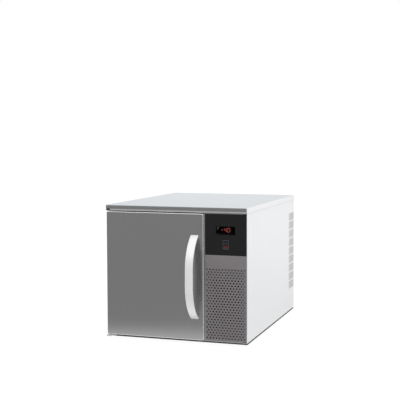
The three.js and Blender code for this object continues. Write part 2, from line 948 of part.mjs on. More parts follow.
const studOffset = () => {
  const { radius, centreY, flat } = handleArc();
  const chordOf = (r) => Math.sqrt(r ** 2 - (centreY + seam) ** 2);
  return flat + (chordOf(radius) + chordOf(radius - handleThickness)) / 2;
};
const studHeights = () => [handleMiddle - studOffset(), handleMiddle + studOffset()];
const handleCentre = (handleLeft + handleRight) / 2;

// The outer circle of the handle's two bows, which run from the door to the straight middle.
function handleArc() {
  const flat = handleFlat / 2;
  const rise = handleLength / 2 - flat;
  const radius = (rise ** 2 + handleReach ** 2) / (2 * handleReach);
  return { radius, centreY: radius - handleReach, flat };
}

// The handle is a flat bar with a straight middle and two bows, with its square ends flat on the door.
function doorHandle() {
  const { radius, centreY, flat } = handleArc();
  const inner = radius - handleThickness;
  const angleOf = (r) => Math.acos((centreY + seam) / r);
  const [outerAngle, innerAngle] = [angleOf(radius), angleOf(inner)];
  const [low, high] = about(handleMiddle, flat);
  const shape = new THREE.Shape();
  shape.absarc(centreY, high, radius, Math.PI - outerAngle, Math.PI, false);
  shape.absarc(centreY, low, radius, Math.PI, Math.PI + outerAngle, false);
  shape.absarc(centreY, low, inner, Math.PI + innerAngle, Math.PI, true);
  shape.absarc(centreY, high, inner, Math.PI, Math.PI - innerAngle, true);
  return extrude(shape, "side", handleLeft, handleRight, {
    bevel: handleBevel,
    bevelSegments: 1,
    curveSegments: 6,
  });
}

function handleStud(z) {
  return join(
    rod("y", studRadius, [0, sheet + seam + 1], [handleCentre, z], 12),
    rod("y", studHeadRadius, [sheet + seam, sheet + seam + studHeadDepth], [handleCentre, z], 6),
  );
}

// The door's outer panel is a pan with rounded front edges and folded sides.
function doorOuterPanel() {
  const face = rectangle([doorLeft, doorRight], [doorBottom, doorTop], doorCornerRadius);
  const blank = extrude(face, "front", 0, doorPanDepth + 2 * doorEdgeRadius, {
    bevel: doorEdgeRadius,
  });
  const around = [doorLeft - past, doorRight + past];
  const through = [-past, sheet + past];
  return cut(
    blank,
    box(around, [doorPanDepth - seam, doorThickness + past * 4], [doorBottom - past, doorTop + past]),
    box(
      [doorLeft + sheet, doorRight - sheet],
      [sheet, doorPanDepth + past],
      [doorBottom + sheet, doorTop - sheet],
    ),
    bushPocket(doorBottom - past, doorBottom + sheet + past),
    bushPocket(doorTop - sheet - past, doorTop + past),
    ...studHeights().map((z) => rod("y", studRadius + seam, through, [handleCentre, z], 12)),
  );
}

function doorFoam() {
  const clear = sheet + seam;
  const headRoom = [sheet, clear + studHeadDepth + seam];
  return cut(
    box(
      [doorLeft + clear, doorRight - clear],
      [clear, doorPanDepth - seam],
      [doorBottom + clear, doorTop - clear],
    ),
    bushPocket(doorBottom, doorBottom + hingePinLength + bushFlangeGap + 2 * seam),
    bushPocket(doorTop - hingePinLength - bushFlangeGap - 2 * seam, doorTop),
    ...studHeights().map((z) =>
      rod("y", studHeadRadius + seam, headRoom, [handleCentre, z], 12),
    ),
  );
}

const gasketFrame = (inset) => [
  [
    chamberLeft - gasketLap - gasketWidth + inset,
    chamberRight + gasketLap + gasketWidth - inset,
  ],
  [
    chamberBottom - gasketLap - gasketWidth + inset,
    chamberTop + gasketLap + gasketWidth - inset,
  ],
];

// The door's inner panel closes the pan, dished inside the gasket.
function doorInnerPanel() {
  const [x, z] = gasketFrame(gasketWidth + gasketLap);
  return cut(
    box([doorLeft, doorRight], [doorPanDepth, doorThickness], [doorBottom, doorTop]),
    extrude(rectangle(x, z, chamberCorner), "front", doorThickness - doorDishDepth, doorThickness + past),
  );
}

// The gasket is a ring with a foot on the door, a waist and a wider sealing bulb.
function doorGasket() {
  const front = doorThickness + seam;
  const rear = breakerFront - seam;
  const ring = (from, to, inset) => {
    const [x, z] = gasketFrame(inset);
    const [ix, iz] = gasketFrame(gasketWidth - inset);
    return cut(
      extrude(rectangle(x, z), "front", from, to),
      extrude(rectangle(ix, iz), "front", from - past, to + past),
    );
  };
  return join(
    ring(front, front + 1.6, 1),
    ring(front + 1, rear - 2, 3),
    ring(rear - 2.6, rear, 0),
  );
}

function buildDoor() {
  const add = assembly("door");
  add("door_outer_panel", doorOuterPanel(), finishes.brushedSteel);
  add("door_foam", doorFoam(), finishes.foam);
  add("door_inner_panel", doorInnerPanel(), finishes.satinSteel);
  add("door_gasket", doorGasket(), finishes.rubber);
  add("door_handle", doorHandle(), finishes.handleMetal);
  const [low, high] = studHeights();
  add("handle_stud_lower", handleStud(low), finishes.galvanised);
  add("handle_stud_upper", handleStud(high), finishes.galvanised);
  add("door_bush_lower", bush(doorBottom - bushFlangeGap, 1), finishes.nylon);
  add("door_bush_upper", bush(doorTop + bushFlangeGap, -1), finishes.nylon);
}

function buildHinges() {
  const add = assembly("hinges");
  add("hinge_bracket_lower", lowerHingeBracket(), finishes.satinSteel);
  add("hinge_bracket_upper", upperHingeBracket(), finishes.satinSteel);
  add("hinge_pin_lower", pin(lowerPinSpan), finishes.satinSteel);
  add("hinge_pin_upper", pin(upperPinSpan), finishes.satinSteel);
}

// ---------------------------------------------------------------- controls

const fasciaTop = lidBottom - fasciaTopGap;
const fasciaBottom = fasciaTop - fasciaHeight;
const displayX = [columnLeft + displayLeft, columnLeft + displayLeft + displayWidth];
const displayZ = [fasciaBottom + displayRise, fasciaBottom + displayRise + displayHeight];
const switchX = [columnLeft + switchLeft, columnLeft + switchLeft + switchWidth];
const switchZ = [fasciaBottom + switchRise, fasciaBottom + switchRise + switchHeight];
const switchMiddle = [(switchX[0] + switchX[1]) / 2, (switchZ[0] + switchZ[1]) / 2];
const switchBodyHalfX = rockerWidth / 2 + switchWall;
const switchBodyHalfZ = rockerHalf + switchEndWall;

const widen = ([a, b], by) => [a - by, b + by];
const about = (centre, half) => [centre - half, centre + half];

const keyPlaces = Array.from({ length: keyCount }, (_, i) => {
  const middle = (displayX[0] + displayX[1]) / 2 + (i - (keyCount - 1) / 2) * keyPitch;
  return {
    x: about(middle, keyWidth / 2),
    z: [displayZ[0] + keyRise, displayZ[0] + keyRise + keyHeight],
  };
});

// The column's frame lies in front of the flanges: a stile beside the fascia and the grille, folded
// back along the partition, a sill below the grille and a rail above the fascia.
function columnFrame() {
  const stile = [columnLeft - seam - frameStile, columnLeft - seam];
  const face = outline([
    [stile[0], panelBottom],
    [columnRight, panelBottom],
    [columnRight, panelBottom + frameSill],
    [stile[1], panelBottom + frameSill],
    [stile[1], fasciaTop + seam],
    [columnRight, fasciaTop + seam],
    [columnRight, panelTop],
    [stile[0], panelTop],
  ]);
  return join(
    extrude(face, "front", frameFront, frameFront + sheet),
    box([stile[1] - sheet, stile[1]], [frameFront, frameFront + frameFold], [panelBottom, panelTop]),
  );
}

function controlFascia() {
  return cut(
    extrude(
      rectangle([columnLeft, columnRight], [fasciaBottom, fasciaTop], 1),
      "front",
      0,
      fasciaThickness,
      { bevel: 0.5, bevelSegments: 1 },
    ),
    box(widen(displayX, seam), [-past, fasciaThickness + past], widen(displayZ, seam)),
    box(
      about(switchMiddle[0], switchBodyHalfX + seam),
      [-past, fasciaThickness + past],
      about(switchMiddle[1], switchBodyHalfZ + seam),
    ),
  );
}

const keyCuts = (from, to, clear) =>
  keyPlaces.map(({ x, z }) => box(widen(x, clear), [from, to], widen(z, clear)));

// The window is a flush dark lens, with slots for the keys along its lower edge.
function displayWindow() {
  return cut(
    box(displayX, [seam, seam + windowThickness], displayZ),
    ...keyCuts(-past, seam + windowThickness + past, seam),
  );
}

// The controller's housing behind the window.
function displayHousing() {
  const front = 2 * seam + windowThickness;
  return cut(
    join(
      box(widen(displayX, -seam), [front, front + displayDepth], widen(displayZ, -seam)),
      box(widen(displayX, 6), [fasciaThickness + seam, fasciaThickness + seam + 3], widen(displayZ, 3)),
    ),
    ...keyCuts(front - past, keyDepth + keyTravel + seam - keyProud, seam),
  );
}

const displayKey = ({ x, z }) =>
  extrude(rectangle(x, z), "front", seam - keyProud, keyDepth - keyProud, {
    bevel: 0.4,
    bevelSegments: 1,
  });

// The switch bezel lies on the fascia, and its body passes through it and holds the rocker's pin.
function switchBezelPiece() {
  const [x, z] = switchMiddle;
  const opening = [about(x, rockerWidth / 2 + seam), about(z, rockerHalf + 2)];
  return cut(
    join(
      extrude(rectangle(switchX, switchZ, 2), "front", -seam - switchBezel, -seam, {
        bevel: 0.5,
        bevelSegments: 1,
      }),
      box(about(x, switchBodyHalfX), [-2 * seam, switchBody], about(z, switchBodyHalfZ)),
    ),
    box(opening[0], [-past * 2, switchBody - 3], opening[1]),
    rod("x", rockerPinRadius + seam, about(x, switchBodyHalfX + past), [rockerAxisY, z], 12),
  );
}

// The rocker's front is a shallow valley, drawn with its lower half flat to the bezel.
function rocker() {
  const [x, z] = switchMiddle;
  const tilt = Math.atan2(rockerRise, rockerHalf);
  const profile = outline([
    [rockerHeel * 0.4, -rockerHalf * 0.75],
    [rockerHeel, -rockerHalf * 0.3],
    [rockerHeel, rockerHalf * 0.3],
    [rockerHeel * 0.4, rockerHalf * 0.75],
    [-rockerReach, rockerHalf],
    [rockerRise - rockerReach, 0],
    [-rockerReach, -rockerHalf],
  ]);
  const body = extrude(profile, "side", -rockerWidth / 2, rockerWidth / 2);
  const pins = rod("x", rockerPinRadius, about(0, switchBodyHalfX), [0, 0], 12);
  return join(body, pins)
    .rotate([(tilt * 180) / Math.PI, 0, 0])
    .translate([x, rockerAxisY, z]);
}

// The grille: a folded sheet with a staggered field of holes in front of the condenser.
function perforatedGrille() {
  const face = rectangle([columnLeft, columnRight], [grilleBottom, fasciaBottom - seam], 1);
  const firstHoleRow = grilleBottom + firstHoleRise;
  const fieldHeight = fasciaBottom - seam - plainBand - firstHoleRow;
  const rows = Math.floor(fieldHeight / holeRowPitch) + 1;
  const mostColumns = Math.floor((columnWidth - 2 * holeMargin) / holePitch) + 1;
  for (let row = 0; row < rows; row += 1) {
    const columns = mostColumns - (row % 2);
    for (let column = 0; column < columns; column += 1) {
      const x = columnMiddle + (column - (columns - 1) / 2) * holePitch;
      const z = firstHoleRow + row * holeRowPitch;
      const hole = new THREE.Path();
      for (let i = 0; i < holeSides; i += 1) {
        const angle = Math.PI / 2 - (2 * Math.PI * i) / holeSides;
        const point = [x + holeRadius * Math.cos(angle), z + holeRadius * Math.sin(angle)];
        if (i === 0) hole.moveTo(...point);
        else hole.lineTo(...point);
      }
      hole.closePath();
      face.holes.push(hole);
    }
  }
  const plate = extrude(face, "front", 0, sheet);
  const inner = [
    [columnLeft + sheet, columnRight - sheet],
    [grilleBottom + sheet, fasciaBottom - seam - sheet],
  ];
  const rim = cut(
    box([columnLeft, columnRight], [sheet / 2, grilleReturn], [grilleBottom, fasciaBottom - seam]),
    box(inner[0], [0, grilleReturn + past], inner[1]),
  );
  return join(plate, rim);
}

// The backing plate closes the column behind the grille, but for the condenser's air intake.
const intakeX = about(columnMiddle, intakeWidth / 2);
const intakeZ = [grilleBottom + intakeRise, grilleBottom + intakeRise + intakeHeight];
const backingFront = flangeFront + sheet + seam;
const columnInner = [columnLeft + sheet + seam, right - sheet - seam];
function backingPlate() {
  const collar = [widen(intakeX, sheet), [backingFront, backingFront + intakeCollar], widen(intakeZ, sheet)];
  return cut(
    join(
      box(
        columnInner,
        [backingFront, backingFront + sheet],
        [panelBottom + sheet + seam, fasciaBottom - 2 * seam],
      ),
      box(...collar),
    ),
    box(intakeX, [0, backingFront + intakeCollar + past], intakeZ),
  );
}

function buildControls() {
  const add = assembly("control_column");
  add("column_frame", columnFrame(), finishes.brushedSteel);
  add("control_fascia", controlFascia(), finishes.blackFascia);
  add("perforated_grille", perforatedGrille(), finishes.greyGrille);
  add("grille_backing_plate", backingPlate(), finishes.galvanised);
  add("display_window", displayWindow(), finishes.window);
  add("display_housing", displayHousing(), finishes.blackPlastic);
  keyPlaces.forEach((place, i) => {
    add(`display_key_${i + 1}`, displayKey(place), finishes.rubber);
  });
  add("switch_bezel", switchBezelPiece(), finishes.blackPlastic);
  add("power_rocker", rocker(), finishes.blackPlastic);
}

// ---------------------------------------------------------------- refrigeration

const condenserX = widen(intakeX, condenserMargin);
const condenserZ = widen(intakeZ, condenserMargin);
const condenserFront = backingFront + intakeCollar + seam;
const condenserRear = condenserFront + condenserDepth;
const condenserFanCentre = [columnMiddle, (intakeZ[0] + intakeZ[1]) / 2];
const shroudFront = condenserRear + seam;
const condenserRotorFront = shroudFront + sheet + 1;
const drierPlace = [
  right - sheet - seam - drierRadius - drierGap,
  shroudFront + shroudDepth + drierSetback,
];
const drierFoot = condenserZ[0] + drierRise;
const liquidRun = [condenserX[1] - liquidInset, condenserZ[0] - liquidDrop];

const condenserCoil = () =>
  finnedCoil(condenserX, [condenserFront, condenserRear], condenserZ, condenserFins);

// The shroud holds the coil's rear face and draws the air into the fan's ring.
function condenserShroud() {
  const outer = condenserFanRadius + condenserFanClearance + sheet;
  const bore = condenserFanRadius + condenserFanClearance;
  return cut(
    join(
      box(columnInner, [shroudFront, shroudFront + sheet], [panFloor + seam + 10, condenserZ[1] + 8]),
      rod("y", outer, [shroudFront, shroudFront + shroudDepth], condenserFanCentre, 20),
      box(columnInner.map((x, i) => (i ? x - panelFlange : x)), [shroudFront, shroudFront + 16], [
        panFloor + seam,
        panFloor + seam + sheet,
      ]),
      box(
        columnInner.map((x, i) => (i ? x - panelFlange : x)),
        [shroudFront, shroudFront + sheet],
        [panFloor + seam, panFloor + seam + 12],
      ),
    ),
    rod("y", bore, [shroudFront - past, shroudFront + shroudDepth + past], condenserFanCentre, 20),
    rod("y", pipeRadius + 2 * seam, widen([shroudFront, shroudFront + sheet], past), liquidRun, 12),
  );
}

const compressorPlace = [columnMiddle, compressorDepth];
const mountTop = panFloor + seam + mountHeight;

// A welded hermetic shell with a belt at its seam.
function compressor() {
  const bottom = mountTop + seam;
  const r = compressorRadius;
  const h = compressorHeight;
  return join(
    turned(
      [
        [0, bottom],
        [r * 0.55, bottom],
        [r * 0.9, bottom + h * 0.1],
        [r, bottom + h * 0.22],
        [r, bottom + h * 0.56],
        [r + 3, bottom + h * 0.56],
        [r + 3, bottom + h * 0.6],
        [r, bottom + h * 0.6],
        [r * 0.94, bottom + h * 0.82],
        [r * 0.5, bottom + h],
        [0, bottom + h],
      ],
      compressorPlace,
      compressorSides,
    ),
  );
}

// The mount is a plate on four rubber-covered pillars.
function compressorMount() {
  const [x, y] = compressorPlace;
  const half = compressorRadius + 4;
  const pads = [
    [-1, -1],
    [1, -1],
    [-1, 1],
    [1, 1],
  ].map(([i, j]) =>
    rod(
      "z",
      mountPadRadius,
      [panFloor + seam, mountTop],
      [x + i * (half - mountPadRadius), y + j * (half - mountPadRadius)],
      8,
    ),
  );
  return join(box(about(x, half), about(y, half), [mountTop - mountPlate, mountTop]), ...pads);
}

// The discharge pipe carries hot gas from the shell's crown to the condenser.
function dischargePipe() {
  const [x, y] = compressorPlace;
  const crown = mountTop + seam + compressorHeight;
  const over = crown + 34;
  const condenserTop = condenserZ[1];
  return pipe(
    [
      [x, y - 8, crown + seam],
      [x, y - 8, crown + 20],
      [x, y - 30, over + 40],
      [x, condenserRear + 70, condenserTop + 26],
      [x, condenserFront + 30, condenserTop + 22],
      [x, condenserFront + 26, condenserTop + 10],
      [x, condenserFront + 26, condenserTop + seam],
    ],
    pipeRadius,
    18,
  );
}

// The suction pipe returns from the evaporator through the chamber's side wall to the shell.
function suctionPipe() {
  const [x, y] = compressorPlace;
  const [wallY, wallZ] = suctionPlace;
  const shellX = x - compressorRadius * 0.3;
  const shellTop = mountTop + seam + compressorHeight;
  return pipe(
    [
      [chamberRight + thinSheet + seam, wallY, wallZ],
      [columnLeft + sheet + 4, wallY, wallZ],
      [columnLeft + sheet + 14, wallY, wallZ],
      [columnLeft + sheet + 26, wallY - 26, wallZ],
      [shellX, y + 90, wallZ],
      [shellX, y + 22, wallZ - 10],
      [shellX, y + 12, wallZ - 26],
      [shellX, y + 12, shellTop],
    ],
    pipeRadius,
    18,
  );
}

// The liquid pipe leads from the condenser's foot through the shroud to the filter drier.
function liquidPipe() {
  const [x, z] = liquidRun;
  const [drierX, drierY] = drierPlace;
  const y = condenserRear - liquidSetback;
  return pipe(
    [
      [x, y, condenserZ[0] - seam],
      [x, y, z + pipeBend],
      [x, y + pipeBend, z],
      [x, shroudFront, z],
      [drierX, drierY - pipeBend, z],
      [drierX, drierY, z + pipeBend],
      [drierX, drierY, drierFoot - seam],
    ],
    pipeRadius,
    18,
  );
}

// The filter drier stands on the liquid pipe, with a tapered end at its foot and its crown.
function filterDrier() {
  const crown = drierFoot + drierLength;
  return turned(
    [
      [0, drierFoot],
      [pipeRadius, drierFoot],
      [drierRadius, drierFoot + drierCone],
      [drierRadius, crown - drierCone],
      [pipeRadius, crown],
      [0, crown],
    ],
    drierPlace,
    12,
  );
}

// The control box is a covered tray fixed to the partition behind the fascia.
function controlBox() {
  const x = [columnInner[0], columnInner[1] - controlBoxMargin];
  const y = [controlBoxFront, controlBoxFront + controlBoxDepth];
  const z = [fasciaBottom + controlBoxMargin / 2, fasciaTop - controlBoxMargin / 2];
  return cut(
    box(x, y, z),
    box(widen(x, -sheet), [y[0] + sheet, y[1] + past], widen(z, -sheet)),
  );
}

function inletSocket(clear, from, to) {
  const z = inletBottom + inletHeight / 2;
  return box(
    about(columnMiddle, inletSocketWidth / 2 + clear),
    [from, to],
    about(z, inletSocketHeight / 2 + clear),
  );
}

// The inlet is a flanged socket with three flat pins, where a lead would plug in.
function powerInlet() {
  const z = inletBottom + inletHeight / 2;
  const front = backRear - inletBody;
  const pins = [-1, 0, 1].map((side) =>
    box(
      about(columnMiddle + side * 7, 1),
      [front, backRear - 4],
      about(z + (side === 0 ? 3 : -1), 2.2),
    ),
  );
  return join(
    cut(
      join(
        box(
          about(columnMiddle, inletWidth / 2),
          [backRear + seam, cabinetDepth],
          [inletBottom, inletBottom + inletHeight],
        ),
        inletSocket(0, front, backRear + 2 * seam),
      ),
      inletSocket(-inletWall, front + inletWall, cabinetDepth + past),
    ),
    ...pins,
  );
}

function buildRefrigeration() {
  const add = assembly("refrigeration");
  add("condenser_coil", condenserCoil(), finishes.finMetal);
  add("condenser_shroud", condenserShroud(), finishes.galvanised);
  add(
    "condenser_fan_rotor",
    fanRotor(condenserFanRadius, condenserFanWidth, condenserFanCentre, condenserRotorFront),
    finishes.blackPlastic,
  );
  add(
    "condenser_fan_motor",
    fanMotor(condenserFanCentre, condenserRotorFront, condenserFanWidth),
    finishes.blackEnamel,
  );
  add(
    "condenser_fan_strap",
    motorStrap(
      condenserFanCentre,
      (columnInner[1] - columnInner[0]) / 2 - strapSideGap,
      shroudFront + sheet,
      condenserRotorFront,
      condenserFanWidth,
    ),
    finishes.galvanised,
  );
  add("compressor", compressor(), finishes.blackEnamel);
  add("compressor_mount", compressorMount(), finishes.galvanised);
  add("discharge_pipe", dischargePipe(), finishes.copper);
  add("suction_pipe", suctionPipe(), finishes.copper);
  add("liquid_pipe", liquidPipe(), finishes.copper);
  add("filter_drier", filterDrier(), finishes.copper);
  add("control_box", controlBox(), finishes.galvanised);
  add("power_inlet", powerInlet(), finishes.blackPlastic);
}

buildCabinet();
buildChamber();
buildHinges();
buildDoor();
buildControls();
buildRefrigeration();

export default appliance;
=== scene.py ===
"""Visual model of a table-top blast chiller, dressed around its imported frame.

Every piece is modelled in millimetres in the cabinet's own measure: X to the right from the
middle of the cabinet, Y back from the plane of the door's face, Z up from the surface that the
feet stand on. Piece.hand_over moves the finished mesh into the frame's metres.
"""
import json
import logging
import math
from abc import ABC, abstractmethod
from dataclasses import dataclass, field
from enum import Enum
from typing import Any, Callable, Iterable, Sequence

import bmesh
import bpy
from mathutils import Matrix, Vector


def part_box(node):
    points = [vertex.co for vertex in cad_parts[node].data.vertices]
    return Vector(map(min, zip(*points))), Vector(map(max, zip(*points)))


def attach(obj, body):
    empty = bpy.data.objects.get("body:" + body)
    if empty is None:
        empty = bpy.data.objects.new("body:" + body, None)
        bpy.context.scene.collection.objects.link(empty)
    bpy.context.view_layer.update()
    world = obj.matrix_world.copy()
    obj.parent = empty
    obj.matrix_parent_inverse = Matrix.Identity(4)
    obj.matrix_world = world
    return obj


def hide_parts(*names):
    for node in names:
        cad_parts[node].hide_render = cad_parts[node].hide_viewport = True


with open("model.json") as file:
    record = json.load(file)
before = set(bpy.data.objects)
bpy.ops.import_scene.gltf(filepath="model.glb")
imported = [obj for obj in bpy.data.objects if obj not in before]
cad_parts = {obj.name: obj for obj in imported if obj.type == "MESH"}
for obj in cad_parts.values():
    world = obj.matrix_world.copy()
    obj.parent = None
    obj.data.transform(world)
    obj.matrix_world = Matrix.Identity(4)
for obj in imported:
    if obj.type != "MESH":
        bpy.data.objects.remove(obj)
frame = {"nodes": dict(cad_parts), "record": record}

logging.basicConfig(level=logging.INFO, format="%(message)s")
log = logging.getLogger("blast_chiller")

MM = 0.001
NEAR = 0.01  # coordinates this close, in millimetres, count as one
WELD = 0.002  # vertices this close, in millimetres, are merged
FACING = 0.9  # a face counts as facing an axis where its normal has this much of it
ORIGIN = (0.0, 0.0, 0.0)
WHITE = (1.0, 1.0, 1.0)
DOOR_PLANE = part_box("worktop_lid")[0].y
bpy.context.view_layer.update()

Span = tuple[float, float]
Outline = tuple[Span, Span]
Point = tuple[float, float, float]


@dataclass(frozen=True)
class Extent:
    """The box of a frame node, in millimetres of the cabinet's own measure."""

    x: Span
    y: Span
    z: Span

    @classmethod
    def of(cls, node: str) -> "Extent":
        """Reads a node's box from the frame.

        Args:
            node: The name of the frame node.

        Returns:
            Its box.
        """
        low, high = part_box(node)
        return cls(
            (low.x / MM, high.x / MM),
            ((low.y - DOOR_PLANE) / MM, (high.y - DOOR_PLANE) / MM),
            (low.z / MM, high.z / MM),
        )

    @property
    def middle(self) -> Point:
        """The middle of the box."""
        return (sum(self.x) / 2, sum(self.y) / 2, sum(self.z) / 2)

    @property
    def face(self) -> Outline:
        """Its outline as seen from the front: the spans in X and Z."""
        return (self.x, self.z)


def extent(node: str) -> Any:
    """A dataclass field that holds the box of a frame node."""
    return field(default_factory=lambda: Extent.of(node))


def inset(span: Span, by: float) -> Span:
    """The same span, drawn in by that much at both ends."""
    return (span[0] + by, span[1] - by)


def about(middle: float, half: float) -> Span:
    """The span that reaches as far to both sides of its middle."""
    return (middle - half, middle + half)


def rolled(edge: float, share: float) -> tuple[float, float]:
    """How far a rounded edge lies drawn in and set back, at a share of its quarter turn."""
    angle = share * math.pi / 2
    return edge * (1 - math.sin(angle)), edge * (1 - math.cos(angle))


def only(geometry: Iterable[Any], kind: type) -> list[Any]:
    """The vertices, edges or faces among what a mesh operator returned."""
    return [item for item in geometry if isinstance(item, kind)]


def place_object(name: str, data: bpy.types.ID) -> bpy.types.Object:
    """Puts an object into the scene.

    Args:
        name: The object's name.
        data: Its mesh, camera or lamp.

    Returns:
        The object.
    """
    made = bpy.data.objects.new(name, data)
    bpy.context.scene.collection.objects.link(made)
    return made


# ---------------------------------------------------------------- shader expressions


class Sock:
    """A shader value: expressions on it add Math nodes to its tree."""

    def __init__(self, nodes: "Nodes", socket: bpy.types.NodeSocket) -> None:
        """Wraps one output socket of a tree."""
        self.nodes = nodes
        self.socket = socket

    def _math(self, operation: str, *values: Any) -> "Sock":
        """Adds a Math node on one or two values."""
        return self.nodes.add("ShaderNodeMath", {"operation": operation}, dict(enumerate(values)))

    def __add__(self, other: Any) -> "Sock":
        """self + other."""
        return self._math("ADD", self, other)

    __radd__ = __add__

    def __mul__(self, other: Any) -> "Sock":
        """self * other."""
        return self._math("MULTIPLY", self, other)

    __rmul__ = __mul__

    def __sub__(self, other: Any) -> "Sock":
        """self - other."""
        return self._math("SUBTRACT", self, other)

    def __rsub__(self, other: Any) -> "Sock":
        """other - self."""
        return self._math("SUBTRACT", other, self)

    def sine(self) -> "Sock":
        """The sine of an angle in radians."""
        return self._math("SINE", self)

    def most(self, other: Any) -> "Sock":
        """The larger of two values."""
        return self._math("MAXIMUM", self, other)

    def spread(self, by: float) -> "Sock":
        """A value in 0 to 1, centred on 0 and spread over that range."""
        return (self - 0.5) * by

    def step(self, low: float, high: float) -> "Sock":
        """A smooth step from 0 at low to 1 at high."""
        return self.nodes.add(
            "ShaderNodeMapRange",
            {"interpolation_type": "SMOOTHSTEP"},
            {"Value": self, "From Min": low, "From Max": high},
        )


class Nodes:
    """A node tree with one method that adds any node."""

    def __init__(self, tree: bpy.types.NodeTree) -> None:
        """Clears the tree."""
        self.tree = tree
        tree.nodes.clear()

    def add(
        self,
        kind: str,
        settings: dict[str, Any] | None = None,
        inputs: dict[int | str, Any] | None = None,
        output: int | str = 0,
    ) -> Sock:
        """Adds a node.

        Args:
            kind: The node's type name.
            settings: Its own settings, set first.
            inputs: Values or Socks for its sockets, by name or index.
            output: The output to return.

        Returns:
            That output, for more expressions.
        """
        made = self.tree.nodes.new(kind)
        for key, value in (settings or {}).items():
            setattr(made, key, value)
        for key, value in (inputs or {}).items():
            self.feed(made.inputs[key], value)
        return Sock(self, made.outputs[output])

    def feed(self, target: bpy.types.NodeSocket, value: Any) -> None:
        """Links a Sock to a socket, or sets the socket's own value.

        Args:
            target: The socket.
            value: A Sock, or a plain value; a colour has three channels.
        """
        if isinstance(value, Sock):
            self.tree.links.new(value.socket, target)
        elif target.type == "RGBA":
            target.default_value = (*value, 1.0)
        else:
            target.default_value = value

    def finish(self, kind: str, surface: Sock) -> None:
        """Ends the tree with an output node of that kind."""
        self.feed(self.tree.nodes.new(kind).inputs["Surface"], surface)

    def blend(self, factor: Any, first: Any, second: Any) -> Sock:
        """Mixes two colours by a factor."""
        return self.add(
            "ShaderNodeMix", {"data_type": "RGBA"}, {0: factor, 6: first, 7: second}, output=2
        )

    def noise(self, at: Sock, scale: float, detail: float = 2.0, rough: float = 0.5) -> Sock:
        """Noise between 0 and 1 at a vector."""
        inputs = {"Vector": at, "Scale": scale, "Detail": detail, "Roughness": rough}
        return self.add("ShaderNodeTexNoise", {}, inputs)

    def cells(self, at: Sock, scale: float, output: str = "Distance") -> Sock:
        """Voronoi cells at a vector: the distance to the nearest, or its colour."""
        inputs = {"Vector": at, "Scale": scale}
        return self.add("ShaderNodeTexVoronoi", {"feature": "F1"}, inputs, output)

    def stretched(self, at: Sock, scale: Point) -> Sock:
        """A vector scaled along each axis."""
        return self.add("ShaderNodeMapping", {}, {"Vector": at, "Scale": scale})

    def part(self, at: Sock, axis: str) -> Sock:
        """One coordinate of a vector."""
        return self.add("ShaderNodeSeparateXYZ", {}, {"Vector": at}, output=axis)

    def point(self, space: str = "Object") -> Sock:
        """The shaded point on the object, in metres, or a direction in the world."""
        return self.add("ShaderNodeTexCoord", output=space)

    def ray(self, kind: str) -> Sock:
        """1 for rays of one kind, such as Camera, and 0 for others."""
        return self.add("ShaderNodeLightPath", output=f"Is {kind} Ray")

    def glow(self, kind: str, strength: Any) -> Sock:
        """White light of a strength, from a surface or from the world."""
        return self.add(kind, {}, {"Color": WHITE, "Strength": strength})


class Paint(Nodes):
    """A material in the making, around one Principled shader."""

    def __init__(self, name: str) -> None:
        """Starts a material.

        Args:
            name: Its name.
        """
        self.material = bpy.data.materials.new(name)
        self.material.use_nodes = True
        super().__init__(self.material.node_tree)
        self.surface = self.tree.nodes.new("ShaderNodeBsdfPrincipled")
        self.finish("ShaderNodeOutputMaterial", Sock(self, self.surface.outputs["BSDF"]))

    def set(self, **values: Any) -> None:
        """Sets the shader's sockets; an underscore in a name stands for a space."""
        for key, value in values.items():
            self.feed(self.surface.inputs[key.replace("_", " ")], value)

    def relief(self, height: Sock, strength: float, depth: float) -> None:
        """Lets a height in 0 to 1 raise the surface by that depth in metres."""
        inputs = {"Strength": strength, "Distance": depth, "Height": height}
        self.set(Normal=self.add("ShaderNodeBump", {}, inputs, output="Normal"))

    def between(self, factor: Sock, colour: Point, low: float, high: float) -> Sock:
        """Blends from a colour at one brightness to the same colour at another."""
        return self.blend(factor, shade(colour, low), shade(colour, high))


# ---------------------------------------------------------------- finishes


def shade(colour: Point, by: float) -> Point:
    """A colour made lighter or darker by a factor, up to white."""
    return tuple(min(1.0, channel * by) for channel in colour)


@dataclass(frozen=True)
class Finish(ABC):
    """A surface finish: its name, the record's slot, and its plain values."""

    name: str
    slot: str
    colour: Point
    roughness: float

    def material(self) -> bpy.types.Material:
        """The finish's material, made on first use."""
        made = bpy.data.materials.get(self.name)
        if made is None:
            paint = Paint(self.name)
            self.lay(paint)
            made = paint.material
        return made

    @abstractmethod
    def lay(self, paint: Paint) -> None:
        """Builds the finish on a material.

        Args:
            paint: The material in the making.
        """


class Grain(Enum):
    """The way that a steel sheet was brushed: how its strokes scale X, Y and Z."""

    ALONG_X = (14.0, 1500.0, 1500.0)
    ALONG_Y = (1500.0, 14.0, 1500.0)
    ALONG_Z = (1500.0, 1500.0, 14.0)


